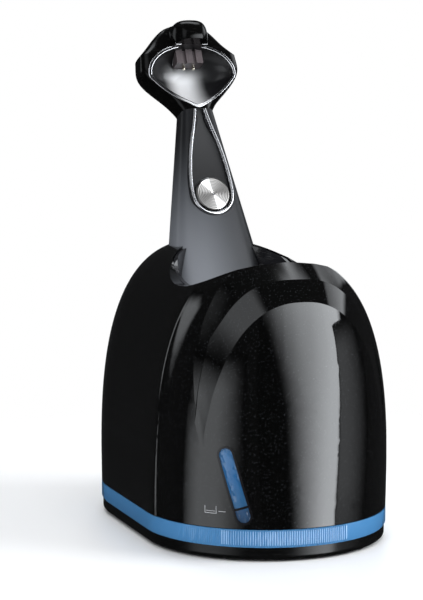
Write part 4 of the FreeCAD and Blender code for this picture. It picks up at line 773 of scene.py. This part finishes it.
def border_lines(faces, keep):
    """Border of a patch of faces as rows of points, longest first; only edges that keep accepts are in it."""
    edges = {edge for edge in outline_of(faces) if keep(edge)}

    def left_at(vert):
        """Number of border edges at a point that no row holds yet."""
        return len([edge for edge in vert.link_edges if edge in edges])

    lines = []
    while edges:
        in_order = sorted(edges, key=lambda edge: edge.index)
        ends = [edge for edge in in_order if any(left_at(vert) == 1 for vert in edge.verts)]
        first = (ends or in_order)[0]
        line = [min(first.verts, key=left_at)]
        while left_at(line[-1]):
            onward = next(edge for edge in line[-1].link_edges if edge in edges)
            edges.remove(onward)
            line.append(onward.other_vert(line[-1]))
        lines.append([vert.co.copy() for vert in line])
    return sorted(lines, key=line_length, reverse=True)


def add_bead(form, line, radius, finish_index):
    """Round bead along a row of points, added to a form, in one of its finishes."""
    curve = bpy.data.curves.new("bead", "CURVE")
    curve.dimensions = "3D"
    curve.bevel_depth = radius
    curve.bevel_resolution = 3
    curve.use_fill_caps = True
    closed = (line[0] - line[-1]).length < WELD
    points = line[:-1] if closed else line
    spline = curve.splines.new("POLY")
    spline.points.add(len(points) - 1)
    for point, place in zip(spline.points, points):
        point.co = (*place, 1)
    spline.use_cyclic_u = closed
    holder = bpy.data.objects.new("bead", curve)
    mesh = bpy.data.meshes.new_from_object(holder)
    old = set(form.faces)
    form.from_mesh(mesh)
    for face in form.faces:
        if face not in old:
            face.material_index = finish_index
    bpy.data.objects.remove(holder)
    bpy.data.curves.remove(curve)
    bpy.data.meshes.remove(mesh)


# ---------------------------------------------------------------- finished pieces
def rib_height(turn):
    """How far the wall stands out at a bearing: 1 on a rib or plain wall, 0 between two full ribs."""
    if not RIB_FROM < turn < RIB_TO:
        return 1.0
    share = min(1.0, (turn - RIB_FROM) / RIB_FADE_IN, (RIB_TO - turn) / RIB_FADE_OUT)
    return 1 - share * (0.5 - 0.5 * math.cos(2 * math.pi * (turn - RIB_FROM) * SIDE_R / RIB_PITCH))


def from_ring_axis(place):
    """Way out from the ring's middle line at a place on its wall, the distance, and the way's bearing."""
    out = place - Vector((0, max(FRONT_CENTRE.y, min(-FRONT_CENTRE.y, place.y)), 0))
    out.z = 0
    way = out.normalized()
    return way, out.length, math.atan2(way.x, -way.y)


def make_ribbed_ring():
    """Blue ring round the foot: chamfered below, with fine upright ribs over part of its front, and a painted
    highlight on some rib tops.
    """
    form = copy_of("trim_ring")
    steps = round((RIB_TO - RIB_FROM) * SIDE_R / RIB_PITCH) * RIB_CUTS
    for step in range(steps + 1):
        turn = RIB_FROM + (RIB_TO - RIB_FROM) * step / steps
        way = bearing(turn)
        near = [face for face in form.faces if (face.calc_center_median() - FRONT_CENTRE).dot(way) > RIB_SIDE]
        cut(form, near, FRONT_CENTRE, (math.cos(turn), math.sin(turn), 0))
    ribs_low = RING_LOW + RIB_FOOT
    ribs_top = RING_TOP - RIB_EDGE
    for level in (ribs_low, ribs_top):
        cut(form, form.faces[:], (0, 0, level), (0, 0, 1))
    for vert in form.verts:
        way, reach, turn = from_ring_axis(vert.co)
        if reach > SIDE_R - RING_WALL_SNAP:
            depth = SIDE_R - reach
            if vert.co.z < RING_LOW + ON_LEVEL:
                depth = RING_CHAMFER
            elif vert.co.z < RING_TOP - ON_LEVEL:
                depth = RIB_DEPTH * (1 - rib_height(turn))
            vert.co += way * (SIDE_R - depth - reach)
    # painted highlight on the rib tops over part of the front
    for face in form.faces:
        middle = face.calc_center_median()
        _, reach, turn = from_ring_axis(middle)
        on_top = reach > SIDE_R - RIB_DEPTH * RIB_HIGHLIGHT_SHARE
        if on_top and ribs_low < middle.z < ribs_top and RIB_HIGHLIGHT_FROM < turn < RIB_TO:
            face.material_index = 1
    shade(form, crease=50)
    add_piece("ribbed_trim_ring", form, "base", "ring_blue", [RING, RIB_PAINTED_HIGHLIGHT], "trim_ring")


def make_start_button():
    """Turned metal button with fine rings in its face, on its stem."""
    face = BUTTON_BACK - BUTTON_FRONT
    groove = face - GROOVE_DEPTH
    profile = [(0, groove), (BUTTON_DIMPLE_R, groove)]
    radius = GROOVE_START
    while radius < BUTTON_R - BUTTON_RIM:
        profile += [(radius, groove), (radius + CREST_FROM, face), (radius + CREST_TO, face),
                    (radius + CREST_END, groove)]
        radius += GROOVE_PITCH
    profile += [(BUTTON_R - inwards, face - down) for inwards, down in BUTTON_ROUND]
    profile += [(BUTTON_R, BUTTON_BREAK), (BUTTON_R - BUTTON_BREAK, 0), (STEM_R, 0),
                (STEM_R, BUTTON_BACK - STEM_END), (0, BUTTON_BACK - STEM_END)]
    form = bmesh.new()
    place = TOWER @ Matrix.Translation((0, BUTTON_BACK, BUTTON_H)) @ Matrix.Rotation(math.radians(90), 4, "X")
    turned(form, profile, place)
    shade(form, crease=45)
    add_piece("turned_start_button", form, "start_button", "button_metal", [BUTTON], "start_button")


def make_cradle_trim():
    """Bright bead round the cradle insert, standing in a dark groove."""
    form = copy_of("cradle_trim")
    form.edges.index_update()
    into_tower = TOWER.inverted()
    front = facing(form, OUT_OF_TOWER, least=0.95)
    lines = border_lines(front, lambda edge: min((into_tower @ vert.co).z for vert in edge.verts) < TRIM_TOP)
    middle = []
    for place in lines[0]:
        partner = min(lines[1], key=lambda other: (other - place).length)
        middle.append((place + partner) / 2 - OUT_OF_TOWER * TRIM_SINK)
    for _ in range(TRIM_SMOOTHING):
        middle[1:-1] = [(a + 2 * b + c) / 4 for a, b, c in zip(middle, middle[1:], middle[2:])]
    for vert in {vert for face in front for vert in face.verts}:
        vert.co -= OUT_OF_TOWER * TRIM_GROOVE
    add_bead(form, middle, TRIM_BEAD, finish_index=1)
    shade(form, crease=50)
    add_piece("beaded_cradle_trim", form, "housing", "trim_bright", [MARK, CHROME], "cradle_trim")


def make_level_window():
    """Lens with a chamfer all round."""
    form = copy_of("level_window")
    out = bearing(WINDOW_TURN)
    chamfer_face(form, facing(form, out, least=0.8), WINDOW_CHAMFER, WINDOW_DROP, out)
    shade(form, crease=18)
    add_piece("chamfered_level_window", form, "housing", "lens_blue", [LENS], "level_window")


def make_head_cup():
    """Cup with fine bright lines along its rim."""
    form = copy_of("head_cup")
    form.edges.index_update()
    front = facing(form, OUT_OF_TOWER, least=0.6)
    for line in border_lines(front, lambda edge: edge.calc_face_angle(0) > CUP_LINE_CREASE):
        if line_length(line) > CUP_LINE_LEAST:
            add_bead(form, line, CUP_LINE_R, finish_index=1)
    shade(form, crease=30)
    add_piece("rimmed_head_cup", form, "housing", "cup_black", [CUP, RIM], "head_cup")


def strip(form, width, length, across, height, parts=1):
    """Thin printed strip, laid out flat: x runs round the housing, z up it."""
    lie = Matrix.Translation((across, 0, height)) @ Matrix.Rotation(math.radians(90), 4, "X")
    bmesh.ops.create_grid(form, x_segments=parts, y_segments=1, size=0.5,
                          matrix=lie @ Matrix.Diagonal((length, width, 1, 1)))


def make_level_sign():
    """Sign printed beside the window: an open vessel with its level, and a dash towards the window."""
    form = bmesh.new()
    foot = SIGN_FOOT + SIGN_LINE / 2
    strip(form, SIGN_LINE, SIGN_WIDE, 0, foot, parts=12)
    for side in (-1, 1):
        strip(form, SIGN_TALL - SIGN_LINE, SIGN_LINE, side * (SIGN_WIDE - SIGN_LINE) / 2,
              SIGN_FOOT + (SIGN_TALL + SIGN_LINE) / 2)
    strip(form, SIGN_FINE, SIGN_LEVEL_WIDE, 0, foot + SIGN_LEVEL, parts=8)
    strip(form, SIGN_FINE, SIGN_DASH, SIGN_DASH_AT, foot + SIGN_LEVEL, parts=8)
    bmesh.ops.solidify(form, geom=form.faces[:], thickness=SIGN_THICK)
    shell = nodes["front_shell"]
    for vert in form.verts:
        way = bearing(SIGN_TURN + vert.co.x / SIDE_R)
        start = FRONT_CENTRE + Vector((0, 0, vert.co.z)) + way * BEYOND_FRONT
        place = shell.ray_cast(start, -way)[1]
        vert.co = place + way * (SIGN_CLEAR + vert.co.y)
    bmesh.ops.recalc_face_normals(form, faces=form.faces)
    add_piece("level_sign", form, "housing", "trim_bright", [PRINT])


def make_lift_ridges():
    """Grip ridges that follow the curved face of the lift button."""
    form = bmesh.new()
    for step in range(GRIP_RIDGES):
        place = Matrix.Translation((0, 0, GRIP_FOOT + step * GRIP_PITCH))
        size = Matrix.Diagonal((GRIP_WIDE, GRIP_DEEP, GRIP_TALL, 1))
        bmesh.ops.create_cube(form, size=1, matrix=place @ size)
    bmesh.ops.bevel(form, geom=form.edges[:], offset=GRIP_ROUND, segments=3, profile=0.5, affect="EDGES",
                    material=-1)
    for step in range(1, GRIP_PARTS):
        across = (step - GRIP_PARTS / 2) * GRIP_WIDE / GRIP_PARTS
        cut(form, form.faces[:], (across, 0, 0), (1, 0, 0))
    for vert in form.verts:
        start = Vector((vert.co.x, BEYOND_REAR, min(vert.co.z, GRIP_TOP)))
        vert.co.y += nodes["lift_button"].ray_cast(start, Vector((0, -1, 0)))[1].y - GRIP_SINK
    shade(form, crease=50)
    add_piece("lift_button_ridges", form, "lift_button", "shell_black", [FOOT])


def make_folding_springs():
    """Copies of the sprung coils, each with a mesh of its own, in place of the CAD coils."""
    for name, joint, way, travel in (
            ("start_button_spring", "start_button_press", INTO_TOWER, START_TRAVEL),
            ("lift_button_spring", "lift_button_press", Vector((0, -1, 0)), LIFT_TRAVEL),
            ("contact_spring_left", "contact_pin_left_press", UP_TOWER, PIN_TRAVEL),
            ("contact_spring_right", "contact_pin_right_press", UP_TOWER, PIN_TRAVEL)):
        form = copy_of(name)
        shade(form)
        piece = add_piece("folding_" + name, form, "housing", "steel", [STEEL], name)
        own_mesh(piece)


make_ribbed_ring()
make_start_button()
make_cradle_trim()
make_level_window()
make_head_cup()
make_level_sign()
make_lift_ridges()
make_folding_springs()
